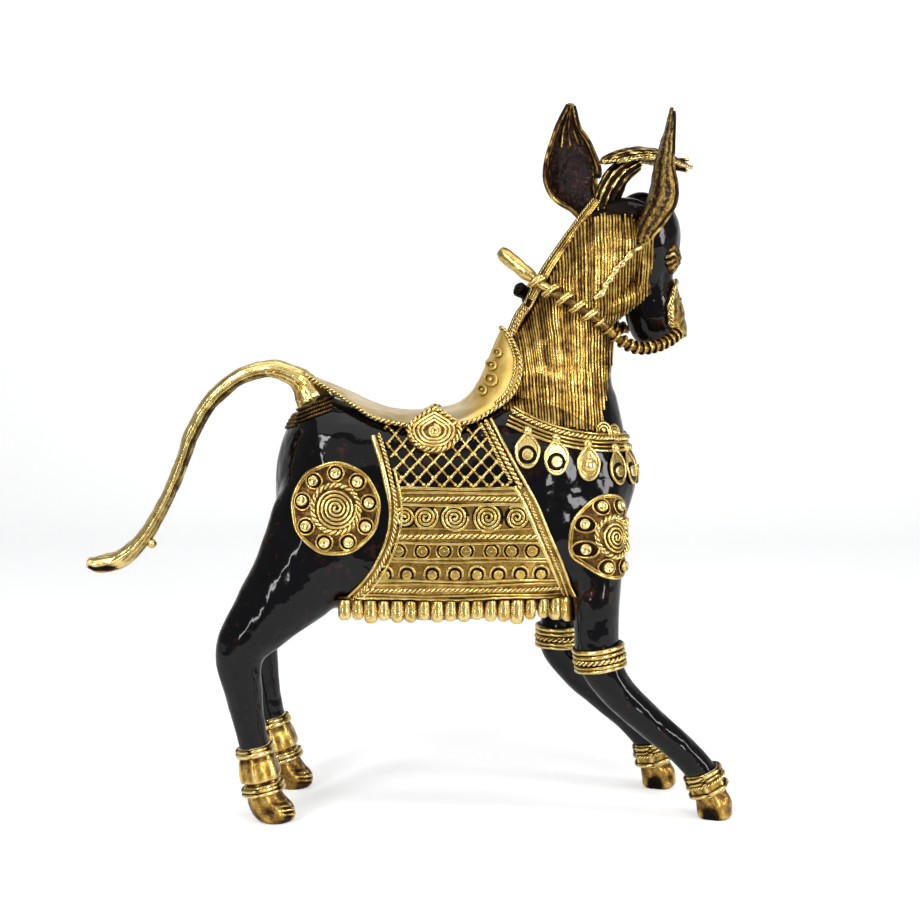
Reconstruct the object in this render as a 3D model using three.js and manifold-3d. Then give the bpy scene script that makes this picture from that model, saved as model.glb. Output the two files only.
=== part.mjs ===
// Harnessed brass horse, a hollow lost-wax casting. Millimetres, +X the way it walks, +Y its left, +Z up.
import * as THREE from "three";
import { mergeVertices } from "three/addons/utils/BufferGeometryUtils.js";
import ManifoldModule from "manifold-3d";

// Clearances and walls
const GAP = 0.3;
const SHELL_WALL = 2.6;
const CORE_MOUTH_INSET = 7;

// Ornament heights above the skin of the body
const PLATE = 1.1;
const WIRE = 1.9;
const BOSS = 2.3;
const DROP_RISE = 1.7;

// Stance
const HIND_SWING = [1.2, 3.6];
const FORE_SWING = [-12.4, -15];
const HIND_LEAN = 2;
const FORE_LEAN = 4;
const HEAD_YAW = 38;
const HEAD_AT = [72.6, 2, 210];

// Ornament sizes
const HIP_CENTRE = [-23.4, 108.2];
const HIP_RADIUS = 14.9;
const HIP_BOSSES = 9;
const SHOULDER_AT = [58.2, -11];
const SHOULDER_TURN = 47;
const SHOULDER_HEIGHT = 98;
const SHOULDER_RADIUS = 12.8;
const SHOULDER_BOSSES = 8;
const DROP_CENTRE = [9.4, 132.6];
const DROP_SIZE = [8.8, 8.2];
const BORDER_WIDTH = 3.4;
const TASSEL_COUNT = 17;
const TASSEL_RADIUS = 1.75;
const TASSEL_LENGTH = 7.8;
const HEM_CORD = [0.9, 1.5];
const HEM_OFF = 2.3;
const HAIRS_PER_SIDE = 2;
const HAIR_DEPTH = 0.7;
const HAIR_RISE = 0.6;
const NECK_MESH = { steps: 5, sides: 14 };
const REIN_RADIUS = 1.8;
const REIN_PEG = 2.2;
const REIN_WIRE = 0.6;
const REIN_TURNS = 10;
const REIN_SIDES = 6;
const REACH = 60;

// Torso: x, back, belly, half width, squareness
const TORSO = [
  [-45.6, 122, 106, 5, 2],
  [-43.4, 131, 95, 13, 2.1],
  [-39, 138.6, 84, 20, 2.3],
  [-31, 144.4, 74, 25.5, 2.6],
  [-18, 141, 69, 28, 3.2],
  [0, 136.8, 67.5, 28.5, 3.8],
  [18, 137.6, 67.5, 28.5, 3.8],
  [34, 145, 68.5, 28.5, 3.3],
  [48, 147.6, 71, 27.5, 2.8],
  [60, 142.6, 77, 25, 2.5],
  [69.6, 133.6, 90, 19.5, 2.3],
  [75.4, 125.6, 103, 11.5, 2.1],
  [78.4, 119.5, 112, 4, 2],
];

// Limbs: x, y, z, half depth, half width; y is a distance to the limb's own side
const HIND_LEG = [
  [-20, 13, 118, 17, 10],
  [-24.4, 16.5, 102, 20.6, 13.5],
  [-34.4, 19, 84.6, 17.6, 11.5],
  [-47, 20.5, 71, 12.4, 9],
  [-56, 21.5, 58.5, 8.3, 7.2],
  [-54.8, 22, 43, 6.1, 5.8],
  [-50.6, 22, 27, 5, 5],
  [-46.8, 22, 10, 5, 5],
];
const FORE_LEG = [
  [57.4, 13, 114, 13, 10],
  [61.6, 17, 97, 12, 10.6],
  [63.8, 19.5, 80, 8.5, 8.8],
  [64, 20, 66, 8, 7.6],
  [65.4, 20, 55.4, 7.8, 7.6],
  [72, 20, 44.6, 6.7, 6.8],
  [81.2, 20, 35.2, 6, 6.2],
  [92.4, 20, 25, 5.3, 5.4],
  [100, 20, 16.8, 5.2, 5.2],
  [103.8, 20, 9.5, 5, 5],
];
const NECK = [
  [49.6, 0, 126, 26, 21],
  [50.2, 0, 148, 21.8, 18.5],
  [54.2, 0, 163, 16, 15.8],
  [58, 0, 174, 13.8, 14],
  [64, 0.5, 186, 13.4, 13.8],
  [70, 1.4, 198.4, 11.8, 12.4],
  [74, 3, 204.5, 6, 6],
];
const TAIL = [
  [-29, 0, 140, 4.2, 4.8],
  [-33.6, 0, 146.6, 4, 4.8],
  [-38.4, 0, 150.4, 3.4, 4.6],
  [-47.6, 0, 153, 3, 4.3],
  [-58.2, 0, 150.2, 2.8, 4.2],
  [-68.2, 0, 142, 2.7, 4],
  [-75.3, 0, 130.5, 2.5, 4],
  [-79.8, 0, 118.1, 2.4, 4],
  [-84.8, 0, 105.9, 2.3, 4],
  [-91.7, 0, 93.8, 2.5, 4.3],
  [-99.2, 0, 86.9, 2.7, 4.8],
  [-106.5, 0, 84.8, 2.8, 5.2],
  [-111.1, 0, 84.4, 1.6, 4.6],
];
const MANE = [
  [36.4, 0, 164.6, 1.8, 3.8],
  [39.2, 0, 170.4, 2, 4.2],
  [42.4, 0, 175, 2.1, 4.4],
  [48, 0, 185.4, 2.1, 4.4],
  [54.4, 0.4, 195, 2, 4],
  [60.4, 0.8, 203.4, 1.9, 3.6],
  [65, 1, 209.6, 1.7, 3],
];
const CREST = [
  [67.4, 1.2, 207.4, 2.6, 2.6],
  [70, 1.8, 213.6, 3.5, 3.2],
  [72.6, 3, 219, 2.9, 4.4],
  [77.8, 5.8, 223.4, 2.1, 6.2],
  [84.8, 9.2, 224.4, 1.7, 6.2],
  [91, 12.2, 223, 1.3, 4.6],
  [97, 15, 222.4, 1, 2.2],
];

// Head rows run down the face: forward, up from the poll, half depth, half width
const HEAD = [
  [3.5, -1.2, 3.4, 4],
  [6, -3.2, 9.5, 8.8],
  [9.4, -9, 14.2, 12.6],
  [11, -18, 13.4, 11.8],
  [12.6, -28, 9.4, 9.2],
  [16, -38, 10.4, 8.4],
  [18.8, -45.5, 8.8, 7.4],
  [19.6, -49.2, 4.4, 4],
];
const EYE_DROP = -19;
const EYE_TURN = 50;
const EYE_SIZE = [3, 2.4, 4.9];
// Noseband: from this far forward on the muzzle, between two heights below the poll
const NOSEBAND_BACK = 14.6;
const NOSEBAND_UPS = [-46.5, -26.5];
const NOSEBAND_RISE = 2.2;

// Ears: x, y, z, half thickness, half width; hollowed along the listed direction
const EAR_HOLLOW = 0.76;
const LEFT_EAR = {
  rows: [
    [66, 8, 202, 4, 4.4],
    [61, 10, 209.6, 4.6, 6.6],
    [56.2, 10.4, 220, 5.2, 9.6],
    [54.8, 10, 231, 4.2, 6.6],
    [55.4, 9.4, 239.6, 2.4, 3],
    [56.2, 9, 244.4, 0.7, 0.8],
  ],
  across: [1, 0.25, 0],
  opening: [0.1, -1, 0],
};
const RIGHT_EAR = {
  rows: [
    [77, -4.6, 191.6, 3, 3.6],
    [79.4, -8, 197, 3.8, 5],
    [82.4, -9.6, 206.5, 4.4, 7.6],
    [85.4, -10.4, 217.5, 3.8, 8.6],
    [87, -10, 229, 2.8, 5.6],
    [87.9, -9.4, 236.6, 1.8, 2.8],
    [88.6, -9, 240.8, 0.7, 0.8],
  ],
  across: [0.35, -0.94, 0],
  opening: [0.94, 0.35, 0],
};

// Reins: path from the loose end behind the nape to the noseband
const RIGHT_REIN = [
  [31.4, -5.4, 194.2],
  [38.2, -9, 188.2],
  [44.7, -11.6, 182.3],
  [51.3, -14.2, 178],
  [57.9, -15.6, 174],
  [64.6, -15.4, 169.4],
  [70.8, -13.4, 164],
  [76.6, -10.8, 160.8],
  [82.6, -7, 160.6],
  [88.6, -2.6, 162.4],
  [93.4, 1.6, 165.6],
];
const LEFT_REIN = [
  [36.6, 8.6, 186],
  [40.4, 10.6, 181],
  [46, 12.6, 178],
  [52.5, 14.8, 175.6],
  [59, 15.8, 173],
  [65.6, 16.8, 170],
  [72, 18.8, 167.4],
  [77.4, 21.4, 166],
];

// Saddle: ridge over the back (x, z) and rim down its right side (x, y, z)
const SADDLE_RIDGE = [
  [-34.4, 150.6],
  [-28.4, 148.2],
  [-21.5, 145],
  [-14.6, 142],
  [-7.8, 139.4],
  [-0.9, 138.6],
  [8.7, 139],
  [16.3, 140.4],
  [21.4, 143.6],
  [24.2, 147.6],
  [26.6, 152.4],
  [28.3, 157],
  [29.9, 161.4],
  [31.9, 166],
];
const SADDLE_RIM = [
  [-34.5, -2.5, 150],
  [-27, -8, 146.2],
  [-20.3, -14, 142.5],
  [-14.8, -18.5, 139.3],
  [-9.8, -21, 136.7],
  [-0.8, -22.6, 135],
  [8, -23, 134.6],
  [18.9, -23.2, 135.4],
  [23.8, -23, 136.7],
  [27.6, -22.4, 138.9],
  [32, -20.8, 141.6],
  [35.6, -19.4, 144.6],
  [38.1, -17, 149.4],
  [38.8, -14, 155.5],
  [37.4, -10.5, 160],
  [34.8, -6.5, 164],
  [32.1, -2.5, 166.4],
];
const SADDLE_LIP = 0.6;
const SADDLE_DEPTH = 7;
const SADDLE_HEART = [4, -16];
const SADDLE_MESH = { steps: 18, across: 8 };

// Outlines seen from the side, x and z
const CLOTH_LEFT = [
  [-10.9, 131.2],
  [-6.7, 117.7],
  [-5.1, 104.4],
  [-9.1, 91.1],
  [-20.1, 78.2],
];
const CLOTH_RIGHT = [
  [57.1, 78.2],
  [42.7, 110],
  [29, 134.4],
];
const CLOTH_TOP = [8, 130.6];
const SPIRAL_ROW = { z: 104.8, xs: [0.2, 9, 18, 27, 35.6], radius: 4.3 };
const BOSS_ROWS = [
  { z: 92.8, xs: [-2.2, 5.2, 12.7, 20, 28.4, 35.8, 42.8] },
];
const BOSS_RADIUS = 2.5;
const CLOTH_BARS = [
  { z: 112.4, half: 2.2 },
  { z: 98.4, half: 1.3 },
  { z: 80.4, half: 1.5 },
];
const COLLAR_UPPER = [
  [33.6, 137.4],
  [44.7, 133],
  [56.4, 130],
  [68, 128.6],
  [84, 127.6],
];
const COLLAR_WIDTH = 4.4;
const CRUPPER = [
  [-24.6, 141.6],
  [-32, 139.2],
  [-40, 136],
  [-52, 132],
];
const CRUPPER_WIDTH = 2.6;
const PENDANT_SIZE = [3.4, 5.2];
const PENDANT_STEM = 2.4;
const PENDANTS = [
  { at: [40.6, 0], turn: 0, z: 123.6 },
  { at: [49, 0], turn: 6, z: 121.8 },
  { at: [57.6, 0], turn: 14, z: 120.2 },
  { at: [60, -4], turn: 48, z: 119 },
  { at: [64, 0], turn: 90, z: 118.2 },
];

// Turned bands: height along the axis, radius
const KNEE_BAND = [
  [0, 8.8],
  [2.2, 9.1],
  [2.8, 8.5],
  [3.4, 9.1],
  [5.4, 9.1],
  [6, 8.5],
  [6.6, 9],
  [8.8, 8.7],
];
const HIND_CUFF = [
  [0, 6.9],
  [1.6, 7.1],
  [2.1, 6.3],
  [2.6, 7.1],
  [3.8, 6.9],
  [4.1, 5.9],
  [4.8, 7.2],
  [13.4, 5.7],
  [14, 6.6],
  [16.8, 6.2],
];
const FORE_CUFF = [
  [0, 6.3],
  [1.8, 6.5],
  [2.3, 5.8],
  [2.8, 6.5],
  [4.6, 6.6],
  [5.1, 5.8],
  [5.6, 6.4],
  [7.6, 6.2],
];

// Hooves: z, forward shift, half length, half width
const HIND_HOOF = [
  [9.6, 0.3, 5.9, 5.8],
  [5.6, 2.7, 7.2, 6.3],
  [1.5, 4, 5.8, 5.8],
  [0, 4.4, 4.2, 4.4],
];
const FOOT_CLEARANCE = 14;
const KNEE_BAND_TOP = 60.4;
const HIND_CUFF_TOP = 27.4;
const FORE_CUFF_TOP = 17.4;
const FORE_HOOF = [
  [9.1, 0.4, 5.2, 5.2],
  [6.2, 1.2, 6.2, 6.2],
  [1.8, 1.4, 6, 6.2],
  [0, 1.2, 4.4, 4.4],
];

const wasm = await ManifoldModule();
wasm.setup();
const radians = THREE.MathUtils.degToRad;
const vector = (p) => new THREE.Vector3(...p);
const UP = new THREE.Vector3(0, 0, 1);

// Solids
function solid(geometry) {
  const bare = new THREE.BufferGeometry();
  bare.setAttribute("position", geometry.getAttribute("position"));
  bare.setIndex(geometry.getIndex());
  const merged = mergeVertices(bare, 1e-4);
  const vertProperties = new Float32Array(merged.getAttribute("position").array);
  const triVerts = new Uint32Array(merged.getIndex().array);
  return new wasm.Manifold(new wasm.Mesh({ numProp: 3, vertProperties, triVerts }));
}

const join = (...solids) => solids.reduce((a, b) => a.add(b));
const cut = (body, ...tools) => tools.reduce((a, b) => a.subtract(b), body);
const biggest = (body) => body.decompose().reduce((a, b) => (a.volume() >= b.volume() ? a : b));

function mirrored(body) {
  const { vertProperties, triVerts, numProp } = body.getMesh();
  const points = new Float32Array(vertProperties);
  const faces = new Uint32Array(triVerts);
  for (let i = 1; i < points.length; i += numProp) points[i] *= -1;
  for (let i = 0; i < faces.length; i += 3) [faces[i], faces[i + 1]] = [faces[i + 1], faces[i]];
  return new wasm.Manifold(new wasm.Mesh({ numProp, vertProperties: points, triVerts: faces }));
}

// Catmull-Rom through rows of numbers, t from 0 to 1
function through(rows, t) {
  const place = t * (rows.length - 1);
  const i = Math.min(Math.floor(place), rows.length - 2);
  const f = place - i;
  const row = (k) => rows[THREE.MathUtils.clamp(i + k, 0, rows.length - 1)];
  return row(0).map((b, c) => {
    const [a, d, e] = [row(-1)[c], row(1)[c], row(2)[c]];
    const bend = (2 * a - 5 * b + 4 * d - e) * f + (3 * b - a - 3 * d + e) * f * f;
    return b + 0.5 * f * (d - a + bend);
  });
}

const arc = (power, value) => Math.sign(value) * Math.abs(value) ** (2 / power);

// Closed skin over rings of points
function skin(rings) {
  const sides = rings[0].length;
  const points = rings.flat();
  const index = [];
  for (let r = 0; r < rings.length - 1; r += 1) {
    for (let s = 0; s < sides; s += 1) {
      const [a, b] = [r * sides + s, r * sides + ((s + 1) % sides)];
      index.push(a, b, a + sides, b, b + sides, a + sides);
    }
  }
  for (const [ring, front] of [[0, false], [rings.length - 1, true]]) {
    const hub = points.length;
    const sum = rings[ring].reduce((a, b) => a.clone().add(b), new THREE.Vector3());
    points.push(sum.divideScalar(sides));
    for (let s = 0; s < sides; s += 1) {
      const [a, b] = [ring * sides + s, ring * sides + ((s + 1) % sides)];
      index.push(hub, ...(front ? [a, b] : [b, a]));
    }
  }
  const geometry = new THREE.BufferGeometry();
  geometry.setAttribute("position", new THREE.Float32BufferAttribute(points.flatMap((p) => p.toArray()), 3));
  geometry.setIndex(index);
  return solid(geometry);
}

function oval(at, deep, wide, depth, width, sides, power = 2) {
  return Array.from({ length: sides }, (_, s) => {
    const angle = (2 * Math.PI * s) / sides;
    const a = depth * arc(power, Math.cos(angle));
    const b = width * arc(power, Math.sin(angle));
    return at.clone().addScaledVector(deep, a).addScaledVector(wide, b);
  });
}

// Ring with grooves pressed into each of its sides
function grooved(ring, perSide, depth) {
  const centre = ring.reduce((a, b) => a.clone().add(b), new THREE.Vector3()).divideScalar(ring.length);
  return Array.from({ length: ring.length * perSide }, (_, i) => {
    const [side, f] = [Math.floor(i / perSide), (i % perSide) / perSide];
    const at = ring[side].clone().lerp(ring[(side + 1) % ring.length], f);
    const inward = centre.clone().sub(at).normalize();
    return i % 2 ? at.addScaledVector(inward, depth) : at;
  });
}

// Limb of oval rings along a spine, fatter and longer by grow
function limb(rows, { steps, sides, across = [0, 1, 0], dress = (ring) => ring }, grow = 0) {
  const rings = [];
  for (let i = 0; i <= steps; i += 1) {
    const t = i / steps;
    const [x, y, z, depth, width] = through(rows, t);
    const before = vector(through(rows, Math.max(t - 0.01, 0)));
    const tangent = vector(through(rows, Math.min(t + 0.01, 1))).sub(before).normalize();
    const wide = vector(across).addScaledVector(tangent, -vector(across).dot(tangent)).normalize();
    const deep = wide.clone().cross(tangent);
    const at = new THREE.Vector3(x, y, z);
    if (i === 0) at.addScaledVector(tangent, -grow);
    if (i === steps) at.addScaledVector(tangent, grow);
    rings.push(dress(oval(at, deep, wide, depth + grow, width + grow, sides)));
  }
  return skin(rings);
}

function barrel(rows, steps, sides, grow = 0) {
  const ahead = new THREE.Vector3(1, 0, 0);
  const wide = new THREE.Vector3(0, 1, 0);
  const deep = wide.clone().cross(ahead);
  const rings = [];
  for (let i = 0; i <= steps; i += 1) {
    const [x, back, belly, width, power] = through(rows, i / steps);
    const end = i === 0 ? -grow : i === steps ? grow : 0;
    const at = new THREE.Vector3(x + end, 0, (back + belly) / 2);
    rings.push(oval(at, deep, wide, (back - belly) / 2 + grow, width + grow, sides, power));
  }
  return skin(rings);
}

// Band turned about the line between two points
function turned(from, to, profile, sides) {
  const axis = vector(to).sub(vector(from)).normalize();
  const wide = new THREE.Vector3(0, 1, 0).addScaledVector(axis, -axis.y).normalize();
  const deep = wide.clone().cross(axis);
  return skin(profile.map(([h, r]) => oval(vector(from).addScaledVector(axis, h), deep, wide, r, r, sides)));
}

// Outlines on the flat
const circle = (x, z, r, sides) =>
  Array.from({ length: sides }, (_, s) => {
    const angle = (2 * Math.PI * (s + 0.5)) / sides;
    return [x + r * Math.cos(angle), z + r * Math.sin(angle)];
  });
const curve = (points, count) => Array.from({ length: count + 1 }, (_, i) => through(points, i / count));
const drop = (x, z, [w, h], sides) =>
  Array.from({ length: sides }, (_, s) => {
    const angle = (2 * Math.PI * s) / sides;
    const pinch = Math.sin(angle) > 0 ? 1 - 0.72 * Math.sin(angle) ** 2 : 1;
    return [x + w * Math.cos(angle) * pinch, z + h * Math.sin(angle)];
  });

function ribbon(points, half) {
  const edge = (sign) =>
    points.map((p, i) => {
      const [a, b] = [points[Math.max(i - 1, 0)], points[Math.min(i + 1, points.length - 1)]];
      const length = Math.hypot(b[0] - a[0], b[1] - a[1]);
      const [nx, nz] = [-(b[1] - a[1]) / length, (b[0] - a[0]) / length];
      return [p[0] + sign * half * nx, p[1] + sign * half * nz];
    });
  return [...edge(1), ...edge(-1).reverse()];
}

const spiral = (x, z, r, turns, half) =>
  ribbon(
    Array.from({ length: Math.round(turns * 6) + 1 }, (_, i) => {
      const angle = (2 * Math.PI * i) / 6;
      const reach = half + ((r - 2 * half) * i) / Math.round(turns * 6);
      return [x + reach * Math.cos(angle), z + reach * Math.sin(angle)];
    }),
    half,
  );

// Prism of an outline, pushed out of the body along a level direction
function prism(outline, { at = [0, 0], turn = 0, depth = REACH } = {}, hole = null) {
  const shape = new THREE.Shape(outline.map(([x, y]) => new THREE.Vector2(x, y)));
  if (hole) shape.holes.push(new THREE.Path(hole.map(([x, y]) => new THREE.Vector2(x, y))));
  const geometry = new THREE.ExtrudeGeometry(shape, { depth, bevelEnabled: false });
  const angle = radians(turn);
  const along = new THREE.Vector3(Math.cos(angle), Math.sin(angle), 0);
  const out = new THREE.Vector3(Math.sin(angle), -Math.cos(angle), 0);
  const place = new THREE.Matrix4().makeBasis(along, UP, out).setPosition(at[0], at[1], 0);
  return solid(geometry.index ? geometry.applyMatrix4(place) : mergeVertices(geometry.applyMatrix4(place)));
}

function hoop(x, z, outer, inner, facing, sides = 20) {
  return prism(circle(x, z, outer, sides), facing, circle(x, z, inner, sides));
}

// Prism right through the body from side to side
const both = (outline) => prism(outline, { at: [0, REACH], depth: 2 * REACH });

// Body forms, each at any growth
const easing = THREE.MathUtils.smoothstep;
const sided = (rows, side, [middle, foot], lean) =>
  rows.map(([x, y, z, depth, width], i) => {
    const t = i / (rows.length - 1);
    const swing = middle * easing(t, 0.1, 0.5) + (foot - middle) * easing(t, 0.82, 1);
    return [x + swing, side * y + lean * easing(t, 0.4, 1), z, depth, width];
  });
const LEG_ROWS = {
  right_hind: sided(HIND_LEG, -1, [0, 0], HIND_LEAN),
  left_hind: sided(HIND_LEG, 1, HIND_SWING, HIND_LEAN),
  right_fore: sided(FORE_LEG, -1, [0, 0], FORE_LEAN),
  left_fore: sided(FORE_LEG, 1, FORE_SWING, FORE_LEAN),
};
const yaw = radians(HEAD_YAW);
const FACE = [Math.cos(yaw), Math.sin(yaw), 0];
const CHEEK = [Math.sin(yaw), -Math.cos(yaw), 0];
const inHead = (forward, up, aside = 0) => [
  HEAD_AT[0] + FACE[0] * forward + CHEEK[0] * aside,
  HEAD_AT[1] + FACE[1] * forward + CHEEK[1] * aside,
  HEAD_AT[2] + up,
];
const HEAD_ROWS = HEAD.map(([f, u, depth, width]) => [...inHead(f, u), depth, width]);

const forms = {
  torso: (g) => barrel(TORSO, 12, 18, g),
  neck: (g) => limb(NECK, NECK_MESH, g + HAIR_RISE),
  head: (g) => limb(HEAD_ROWS, { steps: 9, sides: 12, across: CHEEK }, g),
  tail: (g) => limb(TAIL, { steps: 16, sides: 8 }, g),
};
for (const [name, rows] of Object.entries(LEG_ROWS)) {
  forms[name] = (g) => limb(rows, { steps: rows.length, sides: 9 }, g);
}
const grownForms = new Map();
function grown(name, g) {
  const key = `${name} ${g.toFixed(4)}`;
  if (!grownForms.has(key)) grownForms.set(key, forms[name](g));
  return grownForms.get(key);
}
const coats = new Map();
function coat(names, g) {
  const key = `${names} ${g.toFixed(4)}`;
  if (!coats.has(key)) coats.set(key, join(...names.map((name) => grown(name, g))));
  return coats.get(key);
}
const RIGHT_COAT = ["torso", "right_hind", "right_fore", "neck"];
const LEFT_COAT = ["torso", "left_hind", "left_fore", "neck"];
const BACK_COAT = ["torso", "neck"];
const WHOLE_COAT = ["torso", "neck", "right_hind", "right_fore", "left_hind", "left_fore"];

// Relief: prisms with their heights, clipped to the skin of the body
const relief = (features, names = RIGHT_COAT, base = GAP) =>
  join(...features.map(({ rise, shapes }) => join(...shapes).intersect(coat(names, base + rise))));

const nodes = new Map();
const keep = (name, material, body) => nodes.set(name, { material, body: biggest(body) });

// Both sides of a right-hand relief, hollowed to the body it lies on
function pair(name, material, uncut, base = GAP, ...tools) {
  keep(`right_${name}`, material, cut(uncut, coat(RIGHT_COAT, base), ...tools));
  keep(`left_${name}`, material, cut(mirrored(uncut), coat(LEFT_COAT, base), ...tools.map(mirrored)));
}

// Torso shell, its clay core, and the limbs that grow from it
const mouth = grown("neck", -CORE_MOUTH_INSET);
const hollow = barrel(TORSO, 9, 12, -SHELL_WALL);
keep("torso", "enamel", cut(grown("torso", 0), hollow, mouth));
keep("clay_core", "clay", barrel(TORSO, 9, 12, -SHELL_WALL - GAP));

// Space of a hoof and what lies below it
function footing(name) {
  const [x, y] = LEG_ROWS[name].at(-1);
  const top = (name.endsWith("fore") ? FORE_HOOF : HIND_HOOF)[0][0] + GAP;
  return turned([x, y, 0], [x, y, top], [[0, FOOT_CLEARANCE], [top, FOOT_CLEARANCE]], 6);
}
for (const name of Object.keys(LEG_ROWS)) {
  keep(`${name}_leg`, "enamel", cut(grown(name, 0), grown("torso", GAP), footing(name)));
}

// Head, neck with its hair wires, eyes and noseband
const hair = (ring) => grooved(ring, HAIRS_PER_SIDE * 2, HAIR_DEPTH);
const neckHair = limb(NECK, { ...NECK_MESH, dress: hair }, HAIR_RISE);
keep("neck", "brass", cut(neckHair, grown("torso", GAP), grown("head", GAP)));
keep("head", "enamel", grown("head", 0));

const eyeRow = (EYE_DROP - HEAD[3][1]) / (HEAD[4][1] - HEAD[3][1]);
const [eyeForward, , eyeDepth, eyeWidth] = through(HEAD, (3 + eyeRow) / (HEAD.length - 1));
for (const [name, side] of [["right_eye", 1], ["left_eye", -1]]) {
  const turn = radians(EYE_TURN);
  const ahead = eyeForward + eyeDepth * Math.cos(turn);
  const at = inHead(ahead, EYE_DROP, side * eyeWidth * Math.sin(turn));
  const ball = new THREE.SphereGeometry(1, 8, 5);
  ball.scale(...EYE_SIZE);
  ball.rotateZ(yaw - side * turn + Math.PI / 2);
  ball.translate(...at);
  keep(name, "brass", cut(solid(ball), grown("head", GAP)));
}

const [bandLow, bandHigh] = NOSEBAND_UPS;
const bandHalf = (bandHigh - bandLow) / 2;
const bandEnds = [NOSEBAND_BACK, NOSEBAND_BACK + REACH].map((f) => inHead(f, (bandLow + bandHigh) / 2));
const bandCorners = [[-REACH, -bandHalf], [-REACH, bandHalf], [REACH, bandHalf], [REACH, -bandHalf]];
const bandSlab = skin(
  bandEnds.map((p) =>
    bandCorners.map(([aside, up]) => vector(p).addScaledVector(vector(CHEEK), aside).addScaledVector(UP, up)),
  ),
);
const noseband = (g) => bandSlab.intersect(grown("head", NOSEBAND_RISE + g));
keep("noseband", "brass", cut(noseband(0), grown("head", GAP)));

// Ears, hollowed leaves
function ear(name, { rows, across, opening }) {
  const leaf = limb(rows, { steps: 7, sides: 10, across });
  const shift = vector(opening).normalize();
  const inner = rows.slice(1).map(([x, y, z, depth, width], i) => {
    const step = depth * (i === 0 ? 0.55 : 0.62);
    const [sx, sy] = [x + shift.x * step, y + shift.y * step];
    return [sx, sy, z - 0.6, depth * EAR_HOLLOW, width * EAR_HOLLOW];
  });
  const bowl = limb(inner, { steps: 6, sides: 8, across });
  keep(name, "ear_enamel", cut(leaf, bowl, grown("head", GAP), grown("neck", GAP)));
}
ear("left_ear", LEFT_EAR);
ear("right_ear", RIGHT_EAR);

// Mane braid and forelock crest
const mane = (g) => limb(MANE, { steps: 10, sides: 8 }, g);
const crest = limb(CREST, { steps: 10, sides: 8, across: CHEEK });
keep("crest", "brass", cut(crest, grown("head", GAP), grown("neck", GAP), mane(GAP)));

// Reins: a rod with a wire wound round it, as one tube with a spiral ridge
function rein(name, path) {
  const perTurn = 4;
  const steps = REIN_TURNS * perTurn + 8;
  const rings = [];
  for (let i = 0; i <= steps; i += 1) {
    const t = i / steps;
    const before = vector(through(path, Math.max(t - 0.01, 0)));
    const tangent = vector(through(path, Math.min(t + 0.01, 1))).sub(before).normalize();
    const wide = UP.clone().addScaledVector(tangent, -tangent.z).normalize();
    const deep = wide.clone().cross(tangent);
    const wound = i > 6 && i < steps - 1;
    const ring = Array.from({ length: REIN_SIDES }, (_, s) => {
      const angle = (2 * Math.PI * s) / REIN_SIDES;
      const ridge = REIN_WIRE * Math.cos(angle - (2 * Math.PI * i) / perTurn);
      const reach = wound ? REIN_RADIUS + ridge : REIN_PEG;
      const at = vector(through(path, t));
      return at.addScaledVector(deep, reach * Math.cos(angle)).addScaledVector(wide, reach * Math.sin(angle));
    });
    rings.push(ring);
  }
  keep(name, "brass", cut(skin(rings), grown("neck", GAP), grown("head", GAP), noseband(GAP), mane(GAP)));
}
rein("right_rein", RIGHT_REIN);
rein("left_rein", LEFT_REIN);

// Saddle: swept from its rim over the ridge to the other rim, hollowed to the back and the neck
function saddle(grow) {
  const { steps, across } = SADDLE_MESH;
  const rings = Array.from({ length: steps + 1 }, (_, i) => {
    const [ridgeX, ridgeZ] = through(SADDLE_RIDGE, i / steps);
    const [rimX, rimY, rimZ] = through(SADDLE_RIM, i / steps);
    const end = i === 0 ? -grow : i === steps ? grow : 0;
    const heart = new THREE.Vector3(rimX + SADDLE_HEART[0] + end, 0, rimZ + SADDLE_HEART[1]);
    const arch = (inset) =>
      Array.from({ length: across + 1 }, (_, k) => {
        const angle = Math.PI * (k / across - 0.5);
        const [up, out] = [Math.cos(angle), Math.sin(angle)];
        const x = rimX + (ridgeX - rimX) * up + end;
        const at = new THREE.Vector3(x, -rimY * out, rimZ + (ridgeZ - rimZ) * up);
        const lip = k === 0 || k === across ? SADDLE_LIP : 0;
        return at.addScaledVector(heart.clone().sub(at).normalize(), inset - lip);
      });
    return [...arch(SADDLE_DEPTH + grow), ...arch(-grow).reverse()];
  });
  return skin(rings);
}
const saddleSpace = saddle(GAP);
keep("saddle", "saddle_brass", cut(saddle(0), coat(WHOLE_COAT, GAP), mane(GAP)));
keep("mane_braid", "brass", cut(mane(0), grown("neck", GAP), grown("head", GAP)));

// Saddle cloths
const cloth = [...CLOTH_LEFT, ...CLOTH_RIGHT, CLOTH_TOP];
const clothPrism = prism(cloth);
const bars = CLOTH_BARS.map(({ z, half }) => prism(ribbon([[-REACH, z], [2 * REACH, z]], half)));
const borders = [
  prism(ribbon(CLOTH_LEFT, BORDER_WIDTH)),
  prism(ribbon(CLOTH_RIGHT, BORDER_WIDTH)),
];
const spirals = SPIRAL_ROW.xs.map((x) => prism(spiral(x, SPIRAL_ROW.z, SPIRAL_ROW.radius, 1.4, 0.75)));
const bosses = BOSS_ROWS.flatMap(({ z, xs }) => xs.map((x) => prism(circle(x, z, BOSS_RADIUS, 5))));
const clothRelief = relief([
  { rise: PLATE, shapes: [clothPrism] },
  { rise: WIRE, shapes: [join(...bars, ...borders).intersect(clothPrism), ...spirals] },
  { rise: BOSS, shapes: bosses },
]);
pair("blanket", "brass", clothRelief, GAP, saddleSpace);

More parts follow.
